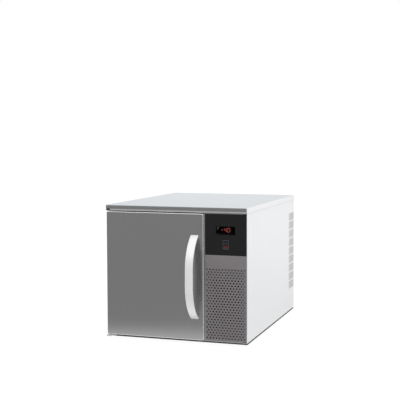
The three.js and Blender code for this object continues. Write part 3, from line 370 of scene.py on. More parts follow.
@dataclass(frozen=True)
class BrushedSteel(Finish):
    """Stainless sheet with fine strokes, faint clouds and handling marks."""

    grain: Grain = Grain.ALONG_X
    stroke: float = 0.10
    cloud: float = 0.05
    metallic: float = 1.0
    stroke_weight: float = 4.0
    band_width: float = 9.0
    cloud_scale: float = 7.0
    stroke_gloss: float = 0.16
    cloud_gloss: float = 0.12
    depth: float = 0.00012

    def lay(self, paint: Paint) -> None:
        """Strokes vary the tone, the gloss and the relief; clouds vary the gloss."""
        place = paint.point()
        fine = self.grain.value
        wide = tuple(scale / self.band_width for scale in fine)
        strokes = paint.noise(paint.stretched(place, fine), scale=1.0, detail=3.0, rough=0.62)
        bands = paint.noise(paint.stretched(place, wide), scale=1.0, detail=2.0)
        clouds = paint.noise(place, self.cloud_scale, detail=3.0)
        tone = strokes.spread(self.stroke) * self.stroke_weight + bands.spread(self.stroke)
        tone = tone + clouds.spread(self.cloud) + 0.5
        colour = paint.between(tone, self.colour, 0.8, 1.2)
        gloss = self.roughness + strokes.spread(self.stroke_gloss) + clouds.spread(self.cloud_gloss)
        paint.set(Base_Color=colour, Roughness=gloss, Metallic=self.metallic)
        paint.relief(strokes, strength=0.18, depth=self.depth)


@dataclass(frozen=True)
class Galvanised(Finish):
    """Zinc-coated sheet with its spangle."""

    spangle: float = 210.0
    gloss_spread: float = 0.2
    metallic: float = 0.9
    depth: float = 0.0003

    def lay(self, paint: Paint) -> None:
        """Crystals of a few millimetres, each with its own tone and gloss."""
        place = paint.point()
        tone = paint.part(paint.cells(place, self.spangle, "Color"), "X")
        dull = paint.noise(place, scale=30.0, detail=3.0)
        colour = paint.between(tone, self.colour, 0.90, 1.09)
        gloss = self.roughness + tone.spread(self.gloss_spread) + dull.spread(self.gloss_spread)
        paint.set(Base_Color=colour, Roughness=gloss, Metallic=self.metallic)
        paint.relief(dull, strength=0.1, depth=self.depth)


@dataclass(frozen=True)
class PowderCoat(Finish):
    """Baked powder with its orange peel."""

    peel: float = 620.0
    depth: float = 0.00016
    gloss_spread: float = 0.12
    shine: float = 0.5

    def lay(self, paint: Paint) -> None:
        """A soft relief, with a trace of dust that dulls it unevenly."""
        place = paint.point()
        peel = paint.noise(place, self.peel, detail=1.0)
        dust = paint.noise(place, scale=22.0, detail=4.0, rough=0.6)
        colour = paint.between(dust, self.colour, 0.93, 1.07)
        paint.set(Base_Color=colour, Roughness=self.roughness + dust.spread(self.gloss_spread))
        paint.set(Specular_IOR_Level=self.shine)
        paint.relief(peel, strength=0.25, depth=self.depth)


@dataclass(frozen=True)
class Moulded(Finish):
    """Moulded plastic with a spark-eroded texture."""

    texture: float = 2600.0
    gloss_spread: float = 0.15
    depth: float = 0.00008

    def lay(self, paint: Paint) -> None:
        """Fine pits, and paler scuffs in the tone."""
        place = paint.point()
        pits = paint.noise(place, self.texture, detail=2.0, rough=0.7)
        scuffs = paint.noise(place, scale=60.0, detail=4.0, rough=0.7)
        colour = paint.between(scuffs.step(0.35, 0.85), self.colour, 1.0, 1.35)
        paint.set(Base_Color=colour, Roughness=self.roughness + scuffs.spread(self.gloss_spread))
        paint.relief(pits, strength=0.3, depth=self.depth)


@dataclass(frozen=True)
class SoftRubber(Finish):
    """Matt rubber with a faint bloom."""

    shine: float = 0.5
    gloss_spread: float = 0.12
    depth: float = 0.0001

    def lay(self, paint: Paint) -> None:
        """The bloom greys the rubber in patches."""
        place = paint.point()
        bloom = paint.noise(place, scale=45.0, detail=5.0, rough=0.65)
        skin = paint.noise(place, scale=1800.0)
        colour = paint.between(bloom.step(0.4, 0.9), self.colour, 1.0, 1.9)
        paint.set(Base_Color=colour, Roughness=self.roughness - bloom.spread(self.gloss_spread))
        paint.set(Specular_IOR_Level=self.shine)
        paint.relief(skin, strength=0.3, depth=self.depth)


@dataclass(frozen=True)
class CellFoam(Finish):
    """Rigid foam, foamed in place."""

    cell: float = 420.0
    depth: float = 0.0005

    def lay(self, paint: Paint) -> None:
        """Open cells, with painted shade in their pits."""
        cells = paint.cells(paint.point(), self.cell)
        colour = paint.between(cells.step(0.0, 0.6), self.colour, 0.72, 1.0)
        paint.set(Base_Color=colour, Roughness=self.roughness)
        paint.relief(cells, strength=0.6, depth=self.depth)


@dataclass(frozen=True)
class FinStack(Finish):
    """Closely set aluminium fins."""

    pitch: float = 0.0024
    bend: float = 0.0006
    gloss_spread: float = 0.2
    metallic: float = 0.9
    depth: float = 0.0006

    def lay(self, paint: Paint) -> None:
        """Painted shade in the gaps between the fins, and handling dents across them."""
        place = paint.point()
        dents = paint.noise(place, scale=90.0)
        across = paint.part(place, "X") + dents.spread(self.bend)
        wave = (across * (2 * math.pi / self.pitch)).sine()
        fin = (wave * 0.5 + 0.5).step(0.25, 0.7)
        colour = paint.between(fin, self.colour, 0.16, 1.0)
        gloss = self.roughness + dents.spread(self.gloss_spread)
        paint.set(Base_Color=colour, Roughness=gloss, Metallic=fin * self.metallic)
        paint.relief(fin, strength=0.5, depth=self.depth)


@dataclass(frozen=True)
class Enamel(Finish):
    """Gloss enamel on a casting or a pressed shell."""

    coat: float = 0.4
    dulling: float = 0.2
    depth: float = 0.0004

    def lay(self, paint: Paint) -> None:
        """A wavy coat with dust on it."""
        place = paint.point()
        wave = paint.noise(place, scale=120.0)
        dust = paint.noise(place, scale=38.0, detail=5.0, rough=0.7)
        colour = paint.between(dust.step(0.45, 0.9), self.colour, 1.0, 3.2)
        gloss = self.roughness + dust * self.dulling
        paint.set(Base_Color=colour, Roughness=gloss, Coat_Weight=self.coat)
        paint.relief(wave, strength=0.2, depth=self.depth)


@dataclass(frozen=True)
class DrawnCopper(Finish):
    """Drawn copper tube with heat tint and a dull bloom."""

    oxide: Point = (0.20, 0.085, 0.05)
    dulling: float = 0.25
    metallic: float = 1.0
    depth: float = 0.0002

    def lay(self, paint: Paint) -> None:
        """Patches of darker oxide on the bright metal."""
        patches = paint.noise(paint.point(), scale=34.0, detail=4.0, rough=0.65)
        colour = paint.blend(patches.step(0.4, 0.75), self.colour, self.oxide)
        gloss = self.roughness + patches * self.dulling
        paint.set(Base_Color=colour, Roughness=gloss, Metallic=self.metallic)
        paint.relief(patches, strength=0.1, depth=self.depth)


@dataclass(frozen=True)
class PolishedLens(Finish):
    """A polished plastic lens or window, with a few wiping marks."""

    coat: float = 0.12
    shine: float = 0.15
    coat_roughness: float = 0.04
    dulling: float = 0.08
    wiping: Point = (20.0, 20.0, 160.0)

    def lay(self, paint: Paint) -> None:
        """Wiping marks show mostly in the gloss."""
        across = paint.stretched(paint.point(), self.wiping)
        wipes = paint.noise(across, scale=1.0, detail=3.0, rough=0.6)
        colour = paint.between(wipes, self.colour, 1.0, 1.4)
        paint.set(Base_Color=colour, Roughness=self.roughness + wipes * self.dulling)
        paint.set(Specular_IOR_Level=self.shine, Coat_Weight=self.coat)
        paint.set(Coat_Roughness=self.coat_roughness)


@dataclass(frozen=True)
class Lit(Finish):
    """A lit segment or mark behind the window."""

    glow: float = 1.0

    def lay(self, paint: Paint) -> None:
        """The glow is a little uneven along a segment."""
        uneven = paint.noise(paint.point(), scale=260.0, detail=1.0)
        colour = paint.between(uneven, self.colour, 0.75, 1.0)
        paint.set(Base_Color=shade(self.colour, 0.25), Roughness=self.roughness)
        paint.set(Emission_Color=colour, Emission_Strength=self.glow)


WORKTOP = BrushedSteel(
    "worktop_brushed", "worktop_steel", (0.634, 0.664, 0.691), 0.36, stroke=0.05
)
# A darker copy of the cabinet's stainless steel for the door and other front faces: painted shade.
FRONT_STEEL_SHADED = BrushedSteel(
    "front_brushed", "door_steel", (0.422, 0.422, 0.424), 0.24, Grain.ALONG_Z, 0.07
)
# A darker copy of the lid's steel for its front face: painted shade.
SKIRT_STEEL_SHADED = BrushedSteel(
    "skirt_brushed", "door_steel", (0.40, 0.40, 0.402), 0.40, Grain.ALONG_X, 0.07
)
# A near-white, less metallic copy of the door's steel for its rounded edges: a painted highlight.
EDGE_STEEL_HIGHLIGHT = BrushedSteel(
    "edge_bright", "door_steel", (0.97, 0.97, 0.98), 0.38, Grain.ALONG_X, 0.04, 0.03, 0.6
)
# A near-white copy of the lid's steel for its turned-back lip: a painted highlight.
LIP_STEEL_HIGHLIGHT = BrushedSteel(
    "lip_bright", "worktop_steel", (0.92, 0.92, 0.925), 0.34, Grain.ALONG_X, 0.05
)
# A lighter copy of the cabinet's stainless steel for the side panel: painted light.
SIDE_STEEL_LIT = BrushedSteel(
    "side_satin", "side_steel", (0.878, 0.898, 0.922), 0.42, Grain.ALONG_Y, 0.03, 0.04
)
# A lighter copy of the lid's steel for its sides and back: painted light.
LID_SIDE_LIT = BrushedSteel(
    "lid_side_satin", "worktop_steel", (0.93, 0.935, 0.965), 0.42, Grain.ALONG_Y, 0.03, 0.04
)
# Darker copies of the side's steel for the pressed vents: painted shade, a little less dark on the
# lead-in.
VENT_STEEL_SHADED = BrushedSteel(
    "vent_pressed", "side_steel", (0.58, 0.58, 0.60), 0.46, Grain.ALONG_Y, 0.05, 0.05
)
VENT_LEAD_SHADED = BrushedSteel(
    "vent_lead", "side_steel", (0.66, 0.66, 0.68), 0.46, Grain.ALONG_Y, 0.05, 0.05
)
LINER_STEEL = BrushedSteel(
    "liner_satin", "liner_steel", (0.66, 0.67, 0.69), 0.30, Grain.ALONG_Y, 0.06
)
PANEL_STEEL = BrushedSteel(
    "inner_panel_satin", "liner_steel", (0.66, 0.67, 0.69), 0.34, Grain.ALONG_Z, 0.06
)
HINGE_STEEL = BrushedSteel(
    "hinge_satin", "hinge_steel", (0.66, 0.67, 0.69), 0.34, Grain.ALONG_X, 0.06
)
SCREW_STEEL = BrushedSteel(
    "screw_turned", "hinge_steel", (0.58, 0.59, 0.61), 0.28, Grain.ALONG_X, 0.04
)
HANDLE_METAL = BrushedSteel(
    "handle_satin", "handle_steel", (0.86, 0.86, 0.88), 0.30, Grain.ALONG_Z, 0.03, 0.02, 0.35
)
# A lighter, nearly plain copy of the handle's metal for the faces towards the door: painted light
# on its shaded back.
HANDLE_BACK_LIT = BrushedSteel(
    "handle_back_satin", "handle_steel", (0.93, 0.93, 0.95), 0.40, Grain.ALONG_Z, 0.03, 0.02, 0.1
)
# A dark copy of galvanised sheet, put where only shade shows: painted shade.
ZINC_SHADE = Galvanised("galvanised_dull", "galvanised_sheet", (0.16, 0.16, 0.165), 0.6)
GALVANISED = Galvanised("galvanised_spangle", "galvanised_sheet", (0.60, 0.62, 0.64), 0.42)
BASE_PAINT = PowderCoat("base_dark_powder", "base_paint", (0.03, 0.03, 0.032), 0.55)
GRILLE_PAINT = PowderCoat("grille_grey_powder", "grille_paint", (0.172, 0.158, 0.163), 0.46)
FASCIA_BLACK = PowderCoat(
    "fascia_black_satin", "fascia_black", (0.0135, 0.0135, 0.014), 0.42,
    peel=900.0, depth=0.00008, shine=0.12,
)
RUBBER = SoftRubber("rubber_matt", "rubber", (0.022, 0.022, 0.023), 0.82)
KEY_RUBBER = SoftRubber("key_rubber_matt", "rubber", (0.0035, 0.0035, 0.004), 0.85, shine=0.06)
SEAL_RUBBER = SoftRubber("seal_grey", "rubber", (0.05, 0.05, 0.052), 0.7)
BREAKER = Moulded("breaker_grey", "breaker_plastic", (0.11, 0.115, 0.12), 0.5)
BLACK_PLASTIC = Moulded("black_moulded", "black_plastic", (0.012, 0.012, 0.013), 0.42)
SWITCH_PLASTIC = Moulded("switch_moulded", "black_plastic", (0.028, 0.031, 0.033), 0.38)
ROCKER_PLASTIC = Moulded("rocker_moulded", "black_plastic", (0.008, 0.009, 0.010), 0.40)
ENAMEL = Enamel("black_gloss_enamel", "black_enamel", (0.010, 0.010, 0.011), 0.22)
# Aluminium fins given a dark colour: painted shade.
FINS_SHADED = FinStack("coil_fins", "fin_metal", (0.10, 0.103, 0.11), 0.42)
NYLON = Moulded("natural_nylon", "nylon", (0.70, 0.68, 0.62), 0.45)
FOAM = CellFoam("insulation_cells", "foam", (0.80, 0.71, 0.46), 0.9)
COPPER = DrawnCopper("drawn_copper", "copper", (0.60, 0.27, 0.15), 0.22)
WINDOW = PolishedLens(
    "window_gloss", "window_black", (0.0005, 0.0005, 0.0006), 0.12, coat=0.02, shine=0.01
)
RED_LENS = Lit("rocker_red_lens", "black_plastic", (0.28, 0.006, 0.010), 0.2, 0.45)
DIGIT_RED = Lit("digit_red", "window_black", (0.62, 0.085, 0.05), 0.4, 0.25)
DIGIT_FAINT = Lit("digit_faint", "window_black", (0.062, 0.012, 0.010), 0.4, 0.6)
# Printed marks behind the window, made to glow: painted light.
MARK_GLOW = Lit("mark_grey", "window_black", (0.10, 0.10, 0.10), 0.5, 0.36)
# A printed dash made to glow: a painted glint.
KEY_MARK_GLOW = Lit("key_mark_grey", "rubber", (0.04, 0.04, 0.04), 0.5, 0.25)

FRAME_FINISHES: dict[str, Finish] = {
    finish.slot: finish
    for finish in (
        WORKTOP, SIDE_STEEL_LIT, GALVANISED, BASE_PAINT, LINER_STEEL, RUBBER, BREAKER, FOAM,
        BLACK_PLASTIC, ENAMEL, FINS_SHADED, NYLON, HINGE_STEEL, FRONT_STEEL_SHADED, HANDLE_METAL, FASCIA_BLACK,
        WINDOW, GRILLE_PAINT, COPPER,
    )
}

# Sheets that show only behind the grille's holes, in a dark copy of galvanised sheet as painted
# shade.
NODE_FINISHES: dict[str, Finish] = dict.fromkeys(
    ("grille_backing_plate", "partition_panel"), ZINC_SHADE
)


def dress_frame() -> None:
    """Gives every carried-over frame node its own finish, or that of its slot in the record."""
    for subpart in frame["record"]["subparts"]:
        node = frame["nodes"][subpart["node"]]
        usual = FRAME_FINISHES[subpart["material_slot"]]
        material = NODE_FINISHES.get(subpart["node"], usual).material()
        if not node.material_slots:
            node.data.materials.append(material)
        for slot in node.material_slots:
            slot.material = material


# ---------------------------------------------------------------- modelling


class Axis(Enum):
    """Which way a turned shape points: how far it turns from upright, and about which axis."""

    X = (math.pi / 2, "Y")
    Y = (-math.pi / 2, "X")
    Z = (0.0, "Z")


class Piece:
    """One piece in the making, in millimetres of the cabinet's own measure."""

    def __init__(self, name: str) -> None:
        """Starts an empty mesh for the finished object's name."""
        self.name = name
        self.mesh = bmesh.new()

    def move(self, verts: Sequence[bmesh.types.BMVert], by: Sequence[float]) -> None:
        """Moves vertices."""
        bmesh.ops.translate(self.mesh, vec=by, verts=verts)

    def turn(self, verts: Sequence[bmesh.types.BMVert], angle: float, axis: str) -> None:
        """Turns vertices about X, Y or Z through the origin."""
        turned = Matrix.Rotation(angle, 3, axis)
        bmesh.ops.rotate(self.mesh, verts=verts, cent=ORIGIN, matrix=turned)

    def everything(self) -> list[Any]:
        """All vertices, edges and faces."""
        return self.mesh.verts[:] + self.mesh.edges[:] + self.mesh.faces[:]

    def block(
        self, x: Span, y: Span, z: Span, radius: float = 0.0, steps: int = 3
    ) -> list[bmesh.types.BMFace]:
        """Adds a box, with its edges rounded if a radius is given.

        Args:
            x, y, z: Its spans.
            radius: Of every edge.
            steps: Segments in a rounded edge.

        Returns:
            Its faces.
        """
        before = set(self.mesh.faces)
        verts = bmesh.ops.create_cube(self.mesh, size=1.0)["verts"]
        size = (x[1] - x[0], y[1] - y[0], z[1] - z[0])
        bmesh.ops.scale(self.mesh, vec=size, verts=verts)
        self.move(verts, (sum(x) / 2, sum(y) / 2, sum(z) / 2))
        if radius > 0:
            self.bevel({edge for vert in verts for edge in vert.link_edges}, radius, steps)
        return [face for face in self.mesh.faces if face not in before]

    def bevel(
        self, geometry: Iterable[Any], radius: float, steps: int = 3, affect: str = "EDGES"
    ) -> None:
        """Rounds edges, or the corners of a face."""
        bmesh.ops.bevel(
            self.mesh, geom=list(geometry), offset=radius, offset_type="OFFSET", segments=steps,
            profile=0.5, affect=affect, clamp_overlap=True, material=-1,
        )

    def edges_where(self, test: Callable[[Vector, Vector], bool]) -> list[bmesh.types.BMEdge]:
        """The edges whose two ends pass a test."""
        return [edge for edge in self.mesh.edges if test(edge.verts[0].co, edge.verts[1].co)]

    def panel(self, outline: Outline, y: float, radius: float, steps: int) -> bmesh.types.BMFace:
        """Adds one upright face with rounded corners.

        Args:
            outline: Its spans in X and Z.
            y: The plane that it lies in.
            radius: Of its corners.
            steps: Segments in each corner.

        Returns:
            The face.
        """
        before = set(self.mesh.faces)
        (left, right), (low, high) = outline
        places = ((left, low), (right, low), (right, high), (left, high))
        corners = [self.mesh.verts.new((x, y, z)) for x, z in places]
        self.mesh.faces.new(corners)
        self.bevel(corners, radius, steps, "VERTICES")
        return next(face for face in self.mesh.faces if face not in before)

    def ring(
        self, outline: Outline, draw: float, y: float, radius: float, steps: int = 6
    ) -> list[bmesh.types.BMEdge]:
        """Adds a closed ring of edges with rounded corners.

        Args:
            outline: Spans in X and Z.
            draw: How far the ring is drawn in from them.
            y: The plane that it lies in.
            radius: Of its corners.
            steps: Segments in each corner.

        Returns:
            The edges.
        """
        face = self.panel(tuple(inset(span, draw) for span in outline), y, radius, steps)
        edges = list(face.edges)
        bmesh.ops.delete(self.mesh, geom=[face], context="FACES_ONLY")
        return edges

    def skin(self, rings: Sequence[list[bmesh.types.BMEdge]], closed: bool = False) -> None:
        """Bridges rings in order.

        Args:
            rings: From one end to the other.
            closed: Whether the last is bridged with the first too.
        """
        pairs = list(zip(rings, rings[1:]))
        if closed:
            pairs.append((rings[-1], rings[0]))
        for first, second in pairs:
            # Two rings in one plane would be bridged crosswise, so one is lifted meanwhile.
            level = abs(first[0].verts[0].co.y - second[0].verts[0].co.y) < NEAR
            lift = Vector((0.0, 1.0 if level else 0.0, 0.0))
            verts = list({vert for edge in second for vert in edge.verts})
            self.move(verts, lift)
            bmesh.ops.bridge_loops(self.mesh, edges=first + second)
            self.move(verts, -lift)

    def cap(self, *rings: Sequence[bmesh.types.BMEdge]) -> None:
        """Closes each ring with one face."""
        for ring in rings:
            bmesh.ops.edgeloop_fill(self.mesh, edges=list(ring))

    def prism(self, outline: Iterable[Point], by: Point) -> None:
        """Adds a solid with the same outline at both ends.

        Args:
            outline: The points of one end.
            by: From there to the other end.
        """
        face = self.mesh.faces.new([self.mesh.verts.new(point) for point in outline])
        made = bmesh.ops.extrude_face_region(self.mesh, geom=[face])["geom"]
        self.move(only(made, bmesh.types.BMVert), by)

    def spin(
        self, geometry: list[Any], centre: Point, axis: Point, angle: float, steps: int, merge: bool
    ) -> None:
        """Sweeps geometry round an axis.

        Args:
            geometry: The vertices, edges or faces to sweep.
            centre: A point on the axis.
            axis: Its direction.
            angle: How far to sweep, in radians.
            steps: Segments in the sweep.
            merge: Whether a full turn is joined up.
        """
        bmesh.ops.spin(
            self.mesh, geom=geometry, cent=centre, axis=axis, dvec=ORIGIN, angle=angle,
            steps=steps, use_merge=merge, use_duplicate=False,
        )

    def turned(
        self, profile: Sequence[tuple[float, float]], centre: Point, axis: Axis, steps: int
    ) -> None:
        """Turns a profile of (radius, height) pairs about an axis through a point.

        Args:
            profile: From one end to the other; a radius of 0 closes an end.
            centre: Where height 0 lies on the axis.
            axis: The axis's direction.
            steps: Facets round the axis.
        """
        before = set(self.mesh.verts)
        verts = [self.mesh.verts.new((radius, 0.0, height)) for radius, height in profile]
        edges = [self.mesh.edges.new(pair) for pair in zip(verts, verts[1:])]
        self.spin(verts + edges, ORIGIN, (0, 0, 1), 2 * math.pi, steps, merge=True)
        shape = [vert for vert in self.mesh.verts if vert not in before]
        self.turn(shape, *axis.value)
        self.move(shape, centre)

    def copies(self, matrices: Iterable[Matrix]) -> None:
        """Repeats all that is there.

        Args:
            matrices: One for each copy.
        """
        original = self.everything()
        for matrix in matrices:
            made = bmesh.ops.duplicate(self.mesh, geom=original)["geom"]
            bmesh.ops.transform(self.mesh, matrix=matrix, verts=only(made, bmesh.types.BMVert))

    def clean(self) -> None:
        """Merges doubles and turns every face outwards."""
        bmesh.ops.remove_doubles(self.mesh, verts=self.mesh.verts, dist=WELD)
        loose = [vert for vert in self.mesh.verts if not vert.link_faces]
        bmesh.ops.delete(self.mesh, geom=loose, context="VERTS")
        bmesh.ops.recalc_face_normals(self.mesh, faces=self.mesh.faces)
        if self.mesh.calc_volume(signed=True) < 0:
            bmesh.ops.reverse_faces(self.mesh, faces=self.mesh.faces)

    def hand_over(
        self, finishes: Sequence[Finish], body: str, *stands_for: str, crease: float = 32.0
    ) -> None:
        """Finishes the mesh and gives it to the frame, with its place in its mesh, in metres.

        Args:
            finishes: The finishes, by material index.
            body: The frame body that it rides on.
            stands_for: Frame nodes that it replaces.
            crease: Edges sharper than this many degrees stay sharp.
        """
        self.clean()
        bmesh.ops.scale(self.mesh, vec=(MM, MM, MM), verts=self.mesh.verts)
        self.move(self.mesh.verts, (0.0, DOOR_PLANE, 0.0))
        limit = math.radians(crease)
        for face in self.mesh.faces:
            face.smooth = True
        for edge in self.mesh.edges:
            edge.smooth = len(edge.link_faces) == 2 and edge.calc_face_angle(0.0) < limit
        data = bpy.data.meshes.new(self.name)
        self.mesh.to_mesh(data)
        self.mesh.free()
        made = place_object(self.name, data)
        for finish in finishes:
            data.materials.append(finish.material())
        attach(made, body)
        if stands_for:
            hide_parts(*stands_for)
        log.info("%s rides on %s, %d faces", self.name, body, len(data.polygons))


@dataclass
class Screws:
    """Pan-head screws with a recess, whose heads point along Y."""

    name: str
    radius: float
    height: float
    facets: int = 20
    profile: tuple[tuple[float, float], ...] = (
        (0.0, 0.42), (0.34, 0.5), (0.4, 0.97), (0.62, 0.9), (0.86, 0.62), (1.0, 0.22), (1.0, 0.0),
        (0.0, 0.0),
    )  # in shares of the radius and the height, from the recess out to the seat

    def build(self, places: Sequence[Point], outward: float) -> None:
        """Models all the screws of one group as one piece.

        Args:
            places: The middle of each head's seat.
            outward: 1 or -1, the way that the heads point along the axis.
        """
        piece = Piece(self.name)
        head = [(self.radius * r, outward * (self.height * h)) for r, h in self.profile]
        for place in places:
            piece.turned(head, place, Axis.Y, self.facets)
        piece.hand_over([SCREW_STEEL], "cabinet")


# ---------------------------------------------------------------- the casing


@dataclass
class Worktop:
    """The lid: a tray of sheet with a skirt, whose front edge is turned back over the door."""

    box: Extent = extent("worktop_lid")
    edge: float = 3.0
    corner: float = 4.0
    bevel_steps: int = 5
    sheet: float = 1.2
    hem: float = 16.0
    lip_height: float = 5.0
    lip_depth: float = 4.2
    lip_drop: float = 2.0
    lip_start: float = -262.0
    lip_back: float = 0.4
    lip_wall: float = 0.8
    lip_steps: int = 6
    roll_share: float = 0.96
    front_depth: float = 0.5

    def build(self) -> None:
        """Models the lid and its front lip."""
        self._lid()
        self._lip()

    def _lid(self) -> None:
        """The skirt, the rounded top edges and the hollow underside."""
        piece = Piece("worktop_skin")
        mesh = piece.mesh
        front, (low, high) = self.box.y[0], self.box.z
        piece.block(self.box.x, self.box.y, self.box.z)
        upright = piece.edges_where(lambda a, b: abs(a.z - b.z) > 1)
        piece.bevel(upright, self.corner, self.bevel_steps)
        top = piece.edges_where(lambda a, b: min(a.z, b.z) > high - NEAR)
        piece.bevel(top, self.edge, self.bevel_steps)
        under = min(mesh.faces, key=lambda face: face.calc_center_median().z)
        bmesh.ops.inset_individual(mesh, faces=[under], thickness=self.hem, use_even_offset=True)
        hollow = bmesh.ops.extrude_discrete_faces(mesh, faces=[under])["faces"]
        verts = list({vert for face in hollow for vert in face.verts})
        piece.move(verts, (0, 0, high - low - self.sheet))
        # The front of the skirt stops above the lip, which stands a little further back.
        for vert in mesh.verts:
            if vert.co.z < low + NEAR and vert.co.y < front + NEAR:
                vert.co.z = low + self.lip_height
        # Front faces take the darker copy as painted shade; sides and back take the lighter copy as
        # painted light.
        for face in mesh.faces:
            foremost = face.calc_center_median().y < front + self.front_depth
            if face.normal.y < -FACING and foremost:
                face.material_index = 1
            elif abs(face.normal.x) > 0.5 or face.normal.y > 0.5:
                face.material_index = 2
        piece.hand_over([WORKTOP, SKIRT_STEEL_SHADED, LID_SIDE_LIT], "cabinet", "worktop_lid")

    def _lip(self) -> None:
        """The turned-back lower edge of the skirt, cut away at the hinge."""
        piece = Piece("worktop_lip")
        low = self.box.z[0] - self.lip_drop
        rise = self.lip_height + self.lip_drop
        front = self.box.y[0] + self.lip_back
        profile = [(front, low + rise)]
        for i in range(self.lip_steps + 1):
            angle = i / self.lip_steps * math.pi / 2
            back = (1 - math.cos(angle)) * self.lip_depth
            profile.append((front + back, low + rise * (1 - math.sin(angle)) * self.roll_share))
        rear = front + self.lip_depth + self.lip_wall
        profile += [(rear, low + 0.1), (rear, low + rise)]
        length = self.box.x[1] - self.corner - self.lip_start
        piece.prism([(self.lip_start, y, z) for y, z in profile], (length, 0, 0))
        # The lip takes the near-white copy: a painted highlight.
        piece.hand_over([LIP_STEEL_HIGHLIGHT], "cabinet")


@dataclass
class SidePanel:
    """The right side panel: a tray of sheet with a column of pressed vents near its rear edge."""

    box: Extent = extent("right_side_panel")
    sheet: float = 1.2
    fold: float = 1.4
    flange_start: float = 1.5
    flange_gap: float = 0.1
    vents: int = 9
    height: float = 31.7
    pitch: float = 36.7
    top_gap: float = 53.3
    length: float = 84.0
    rear_margin: float = 7.0
    drop: float = 6.0
    lead: float = 20.0
    flatness: float = 0.99  # how squarely the outer side faces right, without its folds

    def build(self) -> None:
        """Folds the tray, presses the vents, then adds the thickness and the front flange."""
        piece = Piece("side_panel_skin")
        mesh = piece.mesh
        x, y, z = self.box.x, self.box.y, self.box.z
        piece.block(x, y, z)
        open_sides = [
            face for face in mesh.faces if face.normal.x < -FACING or face.normal.y < -FACING
        ]
        bmesh.ops.delete(mesh, geom=open_sides, context="FACES")
        folds = piece.edges_where(lambda a, b: min(a.x, b.x) > x[1] - NEAR)
        piece.bevel([edge for edge in folds if len(edge.link_faces) == 2], self.fold)
        self._press(piece)
        bmesh.ops.remove_doubles(mesh, verts=mesh.verts, dist=WELD)
        bmesh.ops.recalc_face_normals(mesh, faces=mesh.faces)
        bmesh.ops.solidify(mesh, geom=mesh.faces[:], thickness=self.sheet)
        flange = (y[0] + self.flange_start, y[0] + self.flange_start + self.sheet)
        # The front flange takes the dark copy too: painted shade seen through the grille's outer
        # holes.
        for face in piece.block((x[0], x[1] - self.sheet - self.flange_gap), flange, z):
            face.material_index = 3
        finishes = [SIDE_STEEL_LIT, VENT_STEEL_SHADED, VENT_LEAD_SHADED, ZINC_SHADE]
        piece.hand_over(finishes, "cabinet", "right_side_panel")

    def _press(self, piece: Piece) -> None:
        """Cuts the outer face round each vent and pushes its front end in, open at its mouth.

        Args:
            piece: The folded tray, before it has a thickness.
        """
        mesh = piece.mesh
        outer = self.box.x[1]
        rear = self.box.y[1] - self.rear_margin
        front = rear - self.length
        tops = [self.box.z[1] - self.top_gap - i * self.pitch for i in range(self.vents)]
        cuts = [((0, at, 0), (0, 1, 0)) for at in (front, front + self.lead, rear)]
        cuts += [((0, 0, at), (0, 0, 1)) for top in tops for at in (top - self.height, top)]
        for point, normal in cuts:
            bmesh.ops.bisect_plane(mesh, geom=piece.everything(), plane_co=point, plane_no=normal)
        for top in tops:
            inside = []
            for face in mesh.faces:
                _, y, z = face.calc_center_median()
                flat = face.normal.x > self.flatness
                if flat and front < y < rear and top - self.height < z < top:
                    # The pressed faces take the darker copies as painted shade, the lead-in a
                    # little less dark.
                    face.material_index = 2 if y < front + self.lead else 1
                    inside.append(face)
            made = bmesh.ops.extrude_face_region(mesh, geom=inside)["geom"]
            for vert in only(made, bmesh.types.BMVert):
                vert.co.x = outer - self.drop * (rear - vert.co.y) / self.length
            middle = top - self.height / 2
            mouths = [
                face for face in mesh.faces if all(
                    abs(vert.co.y - front) < NEAR and abs(vert.co.z - middle) < self.height
                    for vert in face.verts
                )
            ]
            bmesh.ops.delete(mesh, geom=mouths, context="FACES_ONLY")


@dataclass
class Feet:
    """Four turned rubber feet, each hollowed under its sole and carried by a stud."""

    recess: float = 0.6
    recess_shares: Span = (0.55, 0.62)
    sole_edge: tuple[Span, ...] = ((1.6, 0.0), (0.4, 0.5))
    flare: float = 2.0
    waist: Span = (0.7, 5.0)
    shoulder: Span = (2.6, 1.2)
    neck: float = 3.6
    stud: float = 4.0
    stud_rise: float = 4.3
    facets: int = 40

    def build(self) -> None:
        """Models each foot in the place of its frame node."""
        for corner in ("front_left", "front_right", "rear_left", "rear_right"):
            node = f"foot_{corner}"
            box = Extent.of(node)
            radius = (box.x[1] - box.x[0]) / 2
            top = box.z[1]
            pad = top - self.stud_rise
            inner, outer = (radius * share for share in self.recess_shares)
            profile = [(0, self.recess), (inner, self.recess), (outer, 0)]
            profile += [(radius - back, height) for back, height in self.sole_edge]
            profile += [(radius, self.flare), (radius - self.waist[0], self.waist[1])]
            profile += [(radius - self.shoulder[0], pad - self.shoulder[1])]
            profile += [(radius - self.neck, pad), (self.stud, pad), (self.stud, top), (0, top)]
            piece = Piece(f"{node}_rubber")
            piece.turned(profile, (box.middle[0], box.middle[1], 0), Axis.Z, self.facets)
            piece.hand_over([RUBBER], "cabinet", node)


@dataclass
class Casing:
    """What fixes the casing's back panel: a row of screws above and below, one at each side."""

    box: Extent = extent("back_panel")
    margin_x: float = 10.0
    margin_z: float = 12.0
    inner_share: float = 0.33

    def build(self) -> None:
        """Models the screws."""
        low, high = inset(self.box.z, self.margin_z)
        left, right = inset(self.box.x, self.margin_x)
        columns = [left, left * self.inner_share, right * self.inner_share, right]
        rear = self.box.y[1]
        places = [(x, rear, z) for x in columns for z in (low, high)]
        places += [(x, rear, self.box.middle[2]) for x in (left, right)]
        Screws("back_panel_screws", radius=3.2, height=1.1).build(places, 1.0)


# ---------------------------------------------------------------- the door


